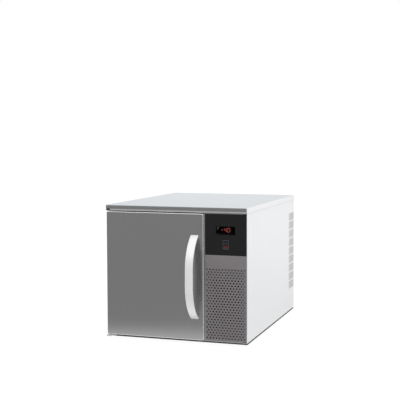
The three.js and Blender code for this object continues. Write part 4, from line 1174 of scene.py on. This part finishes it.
@dataclass
class Door:
    """The door's outer skin, inner panel and seal."""

    outer: Extent = extent("door_outer_panel")
    inner: Extent = extent("door_inner_panel")
    seal: Extent = extent("door_gasket")
    edge: float = 3.0
    edge_steps: int = 6
    flat: float = 0.15
    corner: float = 4.0
    corner_spare: float = 0.6
    sheet: float = 1.2
    hollow: float = 2.0
    panel_corner: float = 3.0
    dish: float = 1.6
    seal_width: float = 12.0
    section: tuple[tuple[float, float], ...] = (
        (1.2, 0.0), (10.8, 0.0), (10.8, 0.24), (8.6, 0.30), (9.4, 0.44), (8.2, 0.56),
        (11.2, 0.66), (12.0, 0.82), (11.2, 0.98), (8.6, 1.0), (6.0, 0.96), (3.4, 1.0),
        (0.8, 0.98), (0.0, 0.82), (0.8, 0.66), (3.8, 0.56), (2.6, 0.44), (3.4, 0.30), (1.2, 0.24),
    )  # of the seal: how far in from its outline, and the share of its depth

    def build(self) -> None:
        """Models the door's three large pieces."""
        self._skin()
        self._inner_panel()
        self._seal()

    def _skin(self) -> None:
        """A pan with rounded front edges; the studs and bushes hide in it."""
        piece = Piece("door_skin")
        face, (front, rear) = self.outer.face, self.outer.y
        rings = []
        for i in range(self.edge_steps + 1):
            draw, back = rolled(self.edge, i / self.edge_steps)
            radius = self.corner - draw + self.corner_spare
            rings.append(piece.ring(face, draw, front + back, radius))
        piece.cap(rings[0])
        rings.append(piece.ring(face, 0, rear, self.corner + self.corner_spare))
        rings.append(piece.ring(face, self.sheet, rear, self.corner))
        rings.append(piece.ring(face, self.sheet, front + self.hollow, self.corner))
        piece.skin(rings)
        piece.cap(rings[-1])
        # The rounded front edge takes the near-white copy: a painted highlight.
        for side in piece.mesh.faces:
            if front + self.flat < side.calc_center_median().y < front + self.edge:
                side.material_index = 1
        piece.hand_over([FRONT_STEEL_SHADED, EDGE_STEEL_HIGHLIGHT], "door", "door_outer_panel")

    def _inner_panel(self) -> None:
        """The sheet that closes the door, with a shallow dish inside the seal."""
        piece = Piece("door_inner_skin")
        face, (front, rear) = self.inner.face, self.inner.y
        lap = self.seal_width + 2
        rim = ((0, front), (0, rear - 1.0), (0.3, rear - 0.3), (1.0, rear))
        step = (
            (lap, rear, 14.0), (lap + 1.2, rear - 0.4, 14.0), (lap + 3.0, rear - self.dish, 13.0)
        )
        rings = [piece.ring(face, draw, y, self.panel_corner) for draw, y in rim]
        rings += [piece.ring(self.seal.face, draw, y, radius) for draw, y, radius in step]
        piece.skin(rings)
        piece.cap(rings[0], rings[-1])
        piece.hand_over([PANEL_STEEL], "door", "door_inner_panel", crease=50)

    def _seal(self) -> None:
        """A bellows section swept round the door, with mitred corners."""
        piece = Piece("door_seal")
        front, rear = self.seal.y
        rings = [
            piece.ring(self.seal.face, draw, front + share * (rear - front), 2.4, steps=2)
            for draw, share in self.section
        ]
        piece.skin(rings, closed=True)
        piece.hand_over([SEAL_RUBBER], "door", "door_gasket", crease=50)


@dataclass
class Handle:
    """A flat bar with a straight middle and two bows, whose ends lie flat on the door."""

    box: Extent = extent("door_handle")
    thickness: float = 5.0
    flat: float = 60.0
    edge: float = 1.3
    edge_steps: int = 4
    bow_steps: int = 30
    end_rise: float = 0.1
    overrun: float = 0.06

    def build(self) -> None:
        """Draws the section, pulls the straight middle, spins both bows and trims their ends."""
        piece = Piece("handle_bar")
        mesh = piece.mesh
        (front, rear), z = self.box.y, self.box.z
        middle, half = sum(z) / 2, self.flat / 2
        rise, reach = (z[1] - z[0]) / 2 + self.end_rise - half, -front
        radius = (rise**2 + reach**2) / (2 * reach)
        spread = math.asin(rise / radius) + self.overrun
        outline = (self.box.x, (0.0, self.thickness))
        section = piece.panel(outline, 0.0, self.edge, self.edge_steps)
        verts = list(section.verts)
        piece.turn(verts, -math.pi / 2, "X")
        piece.move(verts, (0, front, middle - half))
        pulled = bmesh.ops.extrude_face_region(mesh, geom=[section], use_keep_orig=True)["geom"]
        top = only(pulled, bmesh.types.BMFace)[0]
        piece.move(list(top.verts), (0, 0, self.flat))
        for face, height, way in ((top, middle + half, -1), (section, middle - half, 1)):
            centre = (0.0, radius - reach, height)
            piece.spin([face], centre, (1, 0, 0), way * spread, self.bow_steps, merge=False)
        rims = bmesh.ops.bisect_plane(
            mesh, geom=piece.everything(), plane_co=(0, rear, 0), plane_no=(0, 1, 0),
            clear_outer=True,
        )["geom_cut"]
        bmesh.ops.holes_fill(mesh, edges=only(rims, bmesh.types.BMEdge), sides=0)
        piece.clean()
        # Faces towards the door take the lighter copy: painted light.
        for face in mesh.faces:
            face.material_index = 1 if face.normal.y > 0.3 else 0
        piece.hand_over([HANDLE_METAL, HANDLE_BACK_LIT], "door", "door_handle", crease=40)


@dataclass
class Hinges:
    """The two hinge brackets, rounded; the lower one is folded up and screwed to the base."""

    lower: Extent = extent("hinge_bracket_lower")
    upper: Extent = extent("hinge_bracket_upper")
    pin: Extent = extent("hinge_pin_lower")
    edge: float = 0.9
    tongue: float = 3.2
    tongue_start: float = 2.5
    upright: float = 3.5
    upright_edge: float = 1.2
    screws: Span = (4.6, 12.4)
    screw_rise: float = 14.6

    def build(self) -> None:
        """Models the lower and upper brackets and their screws."""
        x, (front, rear), (low, top) = self.lower.x, self.lower.y, self.lower.z
        piece = Piece("lower_hinge_plate")
        piece.block(x, (front + self.tongue_start, rear), (top - self.tongue, top), self.edge)
        arm_x, arm_y = (x[0], self.pin.middle[0]), (front, front + self.upright)
        piece.block(arm_x, arm_y, (low, top), self.upright_edge, 4)
        piece.hand_over([HINGE_STEEL], "cabinet", "hinge_bracket_lower", crease=40)
        places = [(x[0] + across, front, self.screw_rise) for across in self.screws]
        Screws("lower_hinge_screws", radius=2.3, height=1.2).build(places, -1.0)
        piece = Piece("upper_hinge_plate")
        piece.block(self.upper.x, self.upper.y, self.upper.z, self.edge)
        piece.hand_over([HINGE_STEEL], "cabinet", "hinge_bracket_upper", crease=40)


# ---------------------------------------------------------------- the control column


class Segment(Enum):
    """The bars of a seven-segment digit: the ends of each, in cell widths and half heights."""

    TOP = ((0, 2), (1, 2))
    UPPER_LEFT = ((0, 1), (0, 2))
    UPPER_RIGHT = ((1, 1), (1, 2))
    MIDDLE = ((0, 1), (1, 1))
    LOWER_LEFT = ((0, 0), (0, 1))
    LOWER_RIGHT = ((1, 0), (1, 1))
    BOTTOM = ((0, 0), (1, 0))


GLYPHS: dict[str, set[Segment]] = {
    "-": {Segment.MIDDLE},
    "4": {Segment.UPPER_LEFT, Segment.UPPER_RIGHT, Segment.MIDDLE, Segment.LOWER_RIGHT},
    "0": set(Segment) - {Segment.MIDDLE},
}


@dataclass
class Display:
    """The digits and marks behind the display's window."""

    window: Extent = extent("display_window")
    reading: str = "-40"
    cell: float = 8.2
    height: float = 14.8
    bar: float = 2.3
    gap: float = 0.5
    slant: float = 0.10
    pitch: float = 12.2
    first: float = 18.5
    rise: float = 9.6
    proud: float = 0.12
    sunk: float = 0.1
    marks: tuple[Outline, ...] = (
        ((4.7, 12.0), (26.2, 27.8)), ((4.7, 6.4), (17.0, 26.4)), ((6.2, 10.4), (21.2, 22.5)),
        ((4.0, 7.6), (3.0, 4.4)),
    )  # their spans in X and Z, from the window's lower left corner

    def build(self) -> None:
        """Models the lit segments, a faint stroke after them, and the marks."""
        lit, faint = Piece("display_digits"), Piece("display_faint_stroke")
        for place, glyph in enumerate(self.reading):
            for segment in sorted(GLYPHS[glyph], key=lambda item: item.name):
                self._bar(lit, place, segment)
        for segment in (Segment.UPPER_LEFT, Segment.LOWER_LEFT):
            self._bar(faint, len(self.reading), segment)
        lit.hand_over([DIGIT_RED], "cabinet")
        faint.hand_over([DIGIT_FAINT], "cabinet")
        self._marks()

    def _bar(self, piece: Piece, place: int, segment: Segment) -> None:
        """Adds one pointed bar.

        Args:
            piece: Where to add it.
            place: Which digit, from the left.
            segment: Which bar of the digit.
        """
        (x0, z0), (x1, z1) = segment.value
        start = Vector((x0 * self.cell, z0 * self.height / 2))
        end = Vector((x1 * self.cell, z1 * self.height / 2))
        along = (end - start).normalized()
        across = Vector((-along.y, along.x)) * self.bar / 2
        start, end = start + along * self.gap, end - along * self.gap
        point = along * self.bar / 2
        outline = [start, start + point + across, end - point + across]
        outline += [end, end - point - across, start + point - across]
        left = self.window.x[0] + self.first + place * self.pitch
        front, base = self.window.y[0], self.window.z[0] + self.rise
        corners = [(left + at.x + at.y * self.slant, front, base + at.y) for at in outline]
        piece.prism(corners, (0, -self.proud, 0))

    def _marks(self) -> None:
        """Small plain printed marks at the left, made to glow as painted light: three bars and a
        dash.
        """
        piece = Piece("display_marks")
        left, base = self.window.x[0], self.window.z[0]
        y = (self.window.y[0] - self.proud, self.window.y[0] + self.sunk)
        for (x0, x1), (z0, z1) in self.marks:
            piece.block((left + x0, left + x1), y, (base + z0, base + z1))
        piece.hand_over([MARK_GLOW], "cabinet")


@dataclass
class Switch:
    """The power rocker in its bezel."""

    bezel: Extent = extent("switch_bezel")
    rocker: Extent = extent("power_rocker")
    width: float = 18.4
    half: float = 12.1
    rise: float = 1.8
    reach: float = 6.2
    heel: float = 5.0
    heel_shares: tuple[Span, ...] = ((0.4, 0.75), (1.0, 0.3), (1.0, -0.3), (0.4, -0.75))
    axis_y: float = 4.0
    pin: Span = (1.4, 11.3)
    rim: float = 1.4
    mouth: Span = (0.3, 1.0)
    body: Span = (2.1, 3.6)
    stripe: Span = (-10.9, -6.9)
    stripe_margin: float = 0.9

    def build(self) -> None:
        """Models the bezel, the rocker and its red lens."""
        self._bezel()
        self._rocker()

    def _around(self, by: Span) -> Outline:
        """The rocker's outline in the bezel, let out by that much in X and Z."""
        x, _, z = self.bezel.middle
        return (about(x, self.width / 2 + by[0]), about(z, self.half + by[1]))

    def _bezel(self) -> None:
        """A rounded frame that lies on the fascia, with its body behind."""
        piece = Piece("switch_frame")
        mouth, body, face = self._around(self.mouth), self._around(self.body), self.bezel.face
        front, rear = self.bezel.y
        rings = [
            piece.ring(*row) for row in (
                (mouth, 0, rear - 3, 1.2), (mouth, 0, front + 0.5, 1.2),
                (mouth, -0.25, front + 0.12, 1.3), (mouth, -0.6, front, 1.5),
                (face, 0.7, front, 1.9), (face, 0.2, front + 0.25, 2.1),
                (face, 0, front + 0.8, 2.2), (face, 0, front + self.rim, 2.2),
                (body, 0, front + self.rim, 0.8), (body, 0, rear, 0.8),
            )
        ]
        piece.skin(rings)
        piece.cap(rings[0], rings[-1])
        piece.hand_over([SWITCH_PLASTIC], "cabinet", "switch_bezel", crease=50)

    def _valley(self, height: float) -> float:
        """Where the rocker's shallow valley lies at a height, measured from the axis."""
        return -self.reach + self.rise * (1 - (height / self.half) ** 2)

    def _rocker(self) -> None:
        """The rocker is drawn level about its axis, then tilted to its rest."""
        middle = self.rocker.middle[0]
        x = about(middle, self.width / 2)
        axis = (0.0, self.axis_y, self.bezel.middle[2])
        heights = [self.half * (i / 6 - 1) for i in range(13)]
        profile = [(self._valley(h), h) for h in heights]
        profile += [(self.heel * a, self.half * b) for a, b in self.heel_shares]
        cap = Piece("rocker_cap")
        self._pressed(cap, profile, x)
        sides = cap.edges_where(
            lambda a, b: abs(a.x - b.x) < NEAR and max(a.y, b.y) < -self.reach * 0.5
        )
        cap.bevel(sides, 0.6)
        self._settle(cap, axis)
        radius, end = self.pin
        pin = [(0, -end), (radius, -end), (radius, end), (0, end)]
        cap.turned(pin, (middle, axis[1], axis[2]), Axis.X, 16)
        cap.hand_over([ROCKER_PLASTIC], "rocker", "power_rocker", crease=35)
        lens = Piece("rocker_lens")
        low, high = self.stripe
        heights = [low + (high - low) * i / 5 for i in range(6)]
        profile = [(self._valley(h) - 0.06, h) for h in heights]
        profile += [(self._valley(h) + 0.5, h) for h in reversed(heights)]
        self._pressed(lens, profile, inset(x, self.stripe_margin))
        self._settle(lens, axis)
        lens.hand_over([RED_LENS], "rocker")

    @staticmethod
    def _pressed(piece: Piece, profile: Sequence[tuple[float, float]], x: Span) -> None:
        """Extrudes a profile of (y, z) pairs between two X planes."""
        piece.prism([(x[0], y, z) for y, z in profile], (x[1] - x[0], 0, 0))

    def _settle(self, piece: Piece, axis: Point) -> None:
        """Tilts what was drawn about the origin and moves it to the axis."""
        piece.turn(piece.mesh.verts, math.atan2(self.rise, self.half), "X")
        piece.move(piece.mesh.verts, axis)


@dataclass
class Keys:
    """The four rubber keys under the display, each with a printed dash that glows as a painted
    glint.
    """

    count: int = 4
    radius: float = 0.7
    mark: Span = (2.2, 0.45)
    mark_depth: float = 0.3
    mark_edge: float = 0.1

    def build(self) -> None:
        """Models each key as a soft-edged bar in the place of its frame node."""
        for number in range(1, self.count + 1):
            node, body = f"display_key_{number}", f"key_{number}"
            box = Extent.of(node)
            cap = Piece(f"key_cap_{number}")
            cap.block(box.x, box.y, box.z, self.radius)
            cap.hand_over([KEY_RUBBER], body, node, crease=50)
            mark = Piece(f"key_mark_{number}")
            x, z = about(box.middle[0], self.mark[0]), about(box.middle[2], self.mark[1])
            mark.block(x, (box.y[0], box.y[0] + self.mark_depth), z, self.mark_edge, 1)
            mark.hand_over([KEY_MARK_GLOW], body)


@dataclass
class Grille:
    """The perforated sheet in front of the condenser."""

    box: Extent = extent("perforated_grille")
    hole: float = 3.2
    sides: int = 14
    pitch: float = 12.0
    row_pitch: float = 9.69
    rows: int = 27
    columns: int = 13
    first_row: float = 10.3
    sheet: float = 1.2
    edge: float = 0.9
    corner: float = 1.2
    inner_corner: float = 1.0
    corner_steps: int = 3

    def build(self) -> None:
        """Fills the sheet between its outline and its holes, then gives it depth and a rim."""
        piece = Piece("grille_sheet")
        mesh = piece.mesh
        front, rear = self.box.y
        rim = self._ring(piece, self.edge, front)
        self._punch(mesh, front)
        fill = {"use_beauty": True, "use_dissolve": False}
        bmesh.ops.triangle_fill(mesh, edges=mesh.edges[:], normal=(0, -1, 0), **fill)
        holes = [edge for edge in mesh.edges if edge.is_boundary and edge not in set(rim)]
        walls = bmesh.ops.extrude_edge_only(mesh, edges=holes)["geom"]
        piece.move(only(walls, bmesh.types.BMVert), (0, self.sheet, 0))
        back = [edge for edge in only(walls, bmesh.types.BMEdge) if edge.is_boundary]
        inner = self._ring(piece, self.edge, front + self.sheet)
        bmesh.ops.triangle_fill(mesh, edges=back + inner, normal=(0, 1, 0), **fill)
        rings = [rim]
        for share in (0.35, 0.75, 1.0):
            draw, set_back = rolled(self.edge, share)
            rings.append(self._ring(piece, draw, front + set_back))
        rings.append(self._ring(piece, 0, rear))
        for y in (rear, front + self.sheet):
            radius = self.inner_corner
            rings.append(piece.ring(self.box.face, self.sheet, y, radius, self.corner_steps))
        piece.skin([*rings, inner])
        piece.hand_over([GRILLE_PAINT], "cabinet", "perforated_grille", crease=40)

    def _ring(self, piece: Piece, draw: float, y: float) -> list[bmesh.types.BMEdge]:
        """A ring of the sheet's outline, drawn in by that much."""
        return piece.ring(self.box.face, draw, y, self.corner, self.corner_steps)

    def _punch(self, mesh: bmesh.types.BMesh, front: float) -> None:
        """Adds the rim of each hole.

        Args:
            mesh: The sheet's mesh.
            front: The plane of the sheet's face.
        """
        turn = Matrix.Rotation(math.pi / 2, 4, "X")
        for row in range(self.rows):
            count = self.columns - row % 2
            z = self.box.z[0] + self.first_row + row * self.row_pitch
            for column in range(count):
                x = self.box.middle[0] + (column - (count - 1) / 2) * self.pitch
                bmesh.ops.create_circle(
                    mesh, cap_ends=False, segments=self.sides, radius=self.hole,
                    matrix=Matrix.Translation((x, front, z)) @ turn,
                )


# ---------------------------------------------------------------- chamber and fans


@dataclass
class Fan:
    """A moulded rotor with twisted blades on a hub."""

    node: str
    body: str
    radius: float
    blades: int = 5
    blade: float = 1.6
    grid: tuple[int, int] = (10, 12)
    root_share: float = 0.8
    sweep: Span = (0.16, 0.22)
    sweep_wave: float = 0.62
    skew: float = 0.22
    tip_start: float = 0.8
    tip_taper: float = 0.35
    twist: Span = (0.86, 0.34)
    twist_share: float = 0.98
    camber: float = 1.2
    hub: float = 22.0
    hub_profile: tuple[tuple[float, float, float], ...] = (
        (0, 0, -0.82), (0, 5, -0.82), (0, 6, -0.98), (1, -4, -0.98), (1, -1.4, -0.88),
        (1, 0, -0.7), (1, 0, 0.98), (0, 0, 0.98),
    )  # a share of the hub's radius, what is added to it, and a share of the half width
    facets: int = 40

    def build(self) -> None:
        """Bends and twists one blade from a grid, repeats it and adds the hub."""
        box = Extent.of(self.node)
        width = box.y[1] - box.y[0]
        piece = Piece(f"{self.node}_moulding")
        mesh = piece.mesh
        columns, rows = self.grid
        grid = bmesh.ops.create_grid(mesh, x_segments=columns, y_segments=rows, size=0.5)["verts"]
        for vert in grid:
            vert.co = self._bent(vert.co.x, vert.co.y + 0.5, width)
        bmesh.ops.solidify(mesh, geom=mesh.faces[:], thickness=self.blade)
        pitch = 2 * math.pi / self.blades
        piece.copies(Matrix.Rotation(pitch * i, 4, "Y") for i in range(1, self.blades))
        half = width / 2
        profile = [(self.hub * share + add, half * depth) for share, add, depth in self.hub_profile]
        piece.turned(profile, ORIGIN, Axis.Y, self.facets)
        piece.move(mesh.verts, box.middle)
        piece.hand_over([BLACK_PLASTIC], self.body, self.node, crease=40)

    def _bent(self, across: float, along: float, width: float) -> Vector:
        """Where a point of the flat blade comes to lie.

        Args:
            across: From -0.5 to 0.5, over the blade's width.
            along: From 0 at the root to 1 at the tip.
            width: The rotor's depth.

        Returns:
            The point, with the rotor's axis along Y.
        """
        root = self.hub * self.root_share
        reach = root + (self.radius - root) * along
        sweep = self.sweep[0] + self.sweep[1] * math.sin(along * math.pi * self.sweep_wave)
        past = max(0.0, along - self.tip_start) / (1 - self.tip_start)
        angle = across * 2 * sweep * (1 - self.tip_taper * past) + self.skew * along * along
        twist = (self.twist[0] - self.twist[1] * along) * width * self.twist_share
        depth = across * twist - self.camber * math.cos(across * math.pi) * along
        return Vector((reach * math.sin(angle), depth, reach * math.cos(angle)))


@dataclass
class Chamber:
    """The chamber's lining and the wire guard of its fan."""

    liner: Extent = extent("chamber_liner")
    guard: Extent = extent("chamber_fan_guard")
    wall: float = 1.0
    cove: float = 5.0
    cove_steps: int = 6
    least_corner: float = 0.4
    rings: int = 9
    ring_steps: int = 64
    wire: float = 1.2
    wire_sides: int = 8
    spokes: int = 4
    spoke_share: float = 0.9
    spoke_back: float = 0.2

    def build(self) -> None:
        """Models the lining and the guard."""
        self._lining()
        self._guard()

    def _lining(self) -> None:
        """A seamless box with coved corners, open at the front."""
        piece = Piece("chamber_lining")
        face, (front, rear) = self.liner.face, self.liner.y
        lip, outside = (piece.ring(face, 0, y, self.cove + 1) for y in (front, rear))
        inner = tuple(inset(span, self.wall) for span in face)
        mouth = [piece.ring(inner, 0, front, self.cove)]
        for i in range(self.cove_steps + 1):
            angle = i / self.cove_steps * math.pi / 2
            draw = self.cove * (1 - math.cos(angle))
            depth = rear - self.wall - self.cove + self.cove * math.sin(angle)
            mouth.append(piece.ring(inner, draw, depth, max(self.least_corner, self.cove - draw)))
        piece.skin([outside, lip, *mouth])
        piece.cap(outside, mouth[-1])
        piece.hand_over([LINER_STEEL], "cabinet", "chamber_liner", crease=40)

    def _guard(self) -> None:
        """Concentric wires on straight wires across them."""
        piece = Piece("fan_guard_wires")
        x, y, z = self.guard.middle
        reach = (self.guard.x[1] - self.guard.x[0]) / 2
        for i in range(self.rings):
            radius = (reach - self.wire) * (i + 1.2) / (self.rings + 0.2)
            self._wire_ring(piece, (x, y, z), radius)
        for i in range(self.spokes):
            length = 2 * (reach - self.wire * 1.1)
            self._spoke(piece, (x, y + self.spoke_back, z), length, i * math.pi / self.spokes)
        piece.hand_over([LINER_STEEL], "cabinet", "chamber_fan_guard", crease=60)

    def _wire_ring(self, piece: Piece, centre: Point, radius: float) -> None:
        """Adds one ring of wire.

        Args:
            piece: The guard.
            centre: The middle of the ring.
            radius: Of the ring.
        """
        made = bmesh.ops.create_circle(
            piece.mesh, cap_ends=False, segments=self.wire_sides, radius=self.wire,
            matrix=Matrix.Translation((centre[0] + radius, centre[1], centre[2])),
        )["verts"]
        edges = list({edge for vert in made for edge in vert.link_edges})
        piece.spin(made + edges, centre, (0, 1, 0), 2 * math.pi, self.ring_steps, merge=True)

    def _spoke(self, piece: Piece, centre: Point, length: float, angle: float) -> None:
        """Adds one straight wire across the guard.

        Args:
            piece: The guard.
            centre: The middle of the wire.
            length: Of the wire.
            angle: How far it is turned from upright.
        """
        before = set(piece.mesh.verts)
        radius = self.wire * self.spoke_share
        bmesh.ops.create_cone(
            piece.mesh, cap_ends=True, cap_tris=False, segments=self.wire_sides, radius1=radius,
            radius2=radius, depth=length,
        )
        made = [vert for vert in piece.mesh.verts if vert not in before]
        piece.turn(made, angle, "Y")
        piece.move(made, centre)


# ---------------------------------------------------------------- studio


@dataclass(frozen=True)
class Lamp:
    """One square soft lamp: where it hangs, what it faces, its side in metres, its watts."""

    name: str
    place: Point
    target: Point
    size: float
    power: float

    def hang(self) -> None:
        """Adds the lamp, unseen by glossy rays."""
        data = bpy.data.lights.new(self.name, "AREA")
        data.shape = "SQUARE"
        data.size = self.size
        data.energy = self.power
        lamp = place_object(self.name, data)
        lamp.location = self.place
        lamp.rotation_mode = "QUATERNION"
        way = Vector(self.target) - Vector(self.place)
        lamp.rotation_quaternion = way.to_track_quat("-Z", "Y")
        lamp.visible_glossy = False


@dataclass
class Studio:
    """A pale floor, a soft studio and the camera at the photograph's angle."""

    position: Point = (1.17673, -3.22909, 0.77653)
    yaw: float = -16.25498
    pitch: float = 2.98156
    roll: float = 0.00997
    lens: float = 76.48845
    shift: tuple[float, float] = (-0.14988, -0.05189)
    sensor: float = 36.0
    clip: Span = (0.05, 60.0)
    front_tone: float = 0.42
    back_tone: float = 1.04
    world_light: float = 0.72
    frontward: Span = (-0.10, 0.55)
    upward: Span = (0.20, 0.62)
    floor_size: float = 9.0
    floor_near: float = 0.96
    floor_far: float = 1.14
    floor_depth: Span = (0.3, 3.6)
    fade_start: float = 0.32
    fade_length: float = 0.26
    paper: Span = (0.86, 0.90)
    paper_glow: float = 1.12
    glow_share: float = 0.86
    lamps: tuple[Lamp, ...] = (
        Lamp("overhead_softbox", (0.1, -0.3, 2.6), (0.0, 0.0, 0.2), 2.6, 34.0),
        Lamp("right_softbox", (2.9, -0.55, 1.3), (0.2, 0.0, 0.25), 2.0, 16.0),
        Lamp("front_fill", (-0.6, -3.2, 1.9), (0.0, 0.0, 0.25), 1.8, 14.0),
    )

    def build(self) -> None:
        """Makes the camera, the floor, the world and the lamps."""
        self._camera()
        self._floor()
        self._world()
        for lamp in self.lamps:
            lamp.hang()
        bpy.context.scene.view_settings.view_transform = "Standard"

    def _camera(self) -> None:
        """Places the camera from its measured angles."""
        yaw, pitch, roll = (math.radians(value) for value in (self.yaw, self.pitch, self.roll))
        level = math.cos(pitch)
        forward = Vector((math.sin(yaw) * level, math.cos(yaw) * level, -math.sin(pitch)))
        right = Vector((math.cos(yaw), -math.sin(yaw), 0.0))
        up = right.cross(forward)
        turned_right = math.cos(roll) * right + math.sin(roll) * up
        turned_up = -math.sin(roll) * right + math.cos(roll) * up
        data = bpy.data.cameras.new("camera")
        data.lens = self.lens
        data.sensor_width = self.sensor
        data.shift_x, data.shift_y = self.shift
        data.clip_start, data.clip_end = self.clip
        camera = place_object("camera", data)
        basis = Matrix((turned_right, turned_up, -forward)).transposed().to_4x4()
        camera.matrix_world = Matrix.Translation(self.position) @ basis
        bpy.context.scene.camera = camera

    def _floor(self) -> None:
        """A pale floor that looks white, keeps a soft shadow and fades in mirrored rays."""
        mesh = bmesh.new()
        bmesh.ops.create_grid(mesh, x_segments=1, y_segments=1, size=self.floor_size)
        data = bpy.data.meshes.new("floor")
        mesh.to_mesh(data)
        mesh.free()
        floor = place_object("floor", data)
        material = bpy.data.materials.new("floor_paper")
        material.use_nodes = True
        nodes = Nodes(material.node_tree)
        direct, mirror = nodes.ray("Camera"), nodes.ray("Glossy")
        place = nodes.point()
        far = (nodes.part(place, "Y") * -1 - self.fade_start).step(0.0, self.fade_length)
        grain = nodes.noise(place, scale=300.0)
        tones = (shade(WHITE, tone) for tone in self.paper)
        paper = nodes.add("ShaderNodeBsdfDiffuse", {}, {"Color": nodes.blend(grain, *tones)})
        shown = nodes.glow("ShaderNodeEmission", self.paper_glow)
        deep = nodes.part(place, "Y").step(*self.floor_depth)
        behind = self.floor_near + deep * (self.floor_far - self.floor_near)
        mirrored = nodes.glow("ShaderNodeEmission", behind - far * (behind - self.front_tone))
        inputs = {0: direct * self.glow_share, 1: paper, 2: shown}
        seen = nodes.add("ShaderNodeMixShader", {}, inputs)
        both = nodes.add("ShaderNodeMixShader", {}, {0: mirror, 1: seen, 2: mirrored})
        nodes.finish("ShaderNodeOutputMaterial", both)
        data.materials.append(material)

    def _world(self) -> None:
        """White behind the object; for gloss, a bright room with a dimmer front."""
        world = bpy.data.worlds.new("studio")
        bpy.context.scene.world = world
        world.use_nodes = True
        nodes = Nodes(world.node_tree)
        camera, glossy, glassy = (nodes.ray(kind) for kind in ("Camera", "Glossy", "Transmission"))
        way = nodes.point("Generated")
        frontward = (nodes.part(way, "Y") * -1).step(*self.frontward)
        level = 1 - nodes.part(way, "Z").step(*self.upward)
        dim = frontward * level
        room = self.back_tone - dim * (self.back_tone - self.front_tone)
        bright = glossy.most(glassy)
        shown = camera + (1 - camera) * (bright * room + (1 - bright) * self.world_light)
        nodes.finish("ShaderNodeOutputWorld", nodes.glow("ShaderNodeBackground", shown))


def main() -> None:
    """Builds the studio and every piece in order."""
    Studio().build()
    dress_frame()
    parts = [
        Worktop(), SidePanel(), Feet(), Casing(), Door(), Handle(), Hinges(), Display(), Switch(),
        Keys(), Grille(), Chamber(), Fan("chamber_fan_rotor", "chamber_fan", 112.0),
        Fan("condenser_fan_rotor", "condenser_fan", 60.0),
    ]
    for part in parts:
        part.build()
        log.info("%s is built", type(part).__name__)


if __name__ == "__main__":
    main()
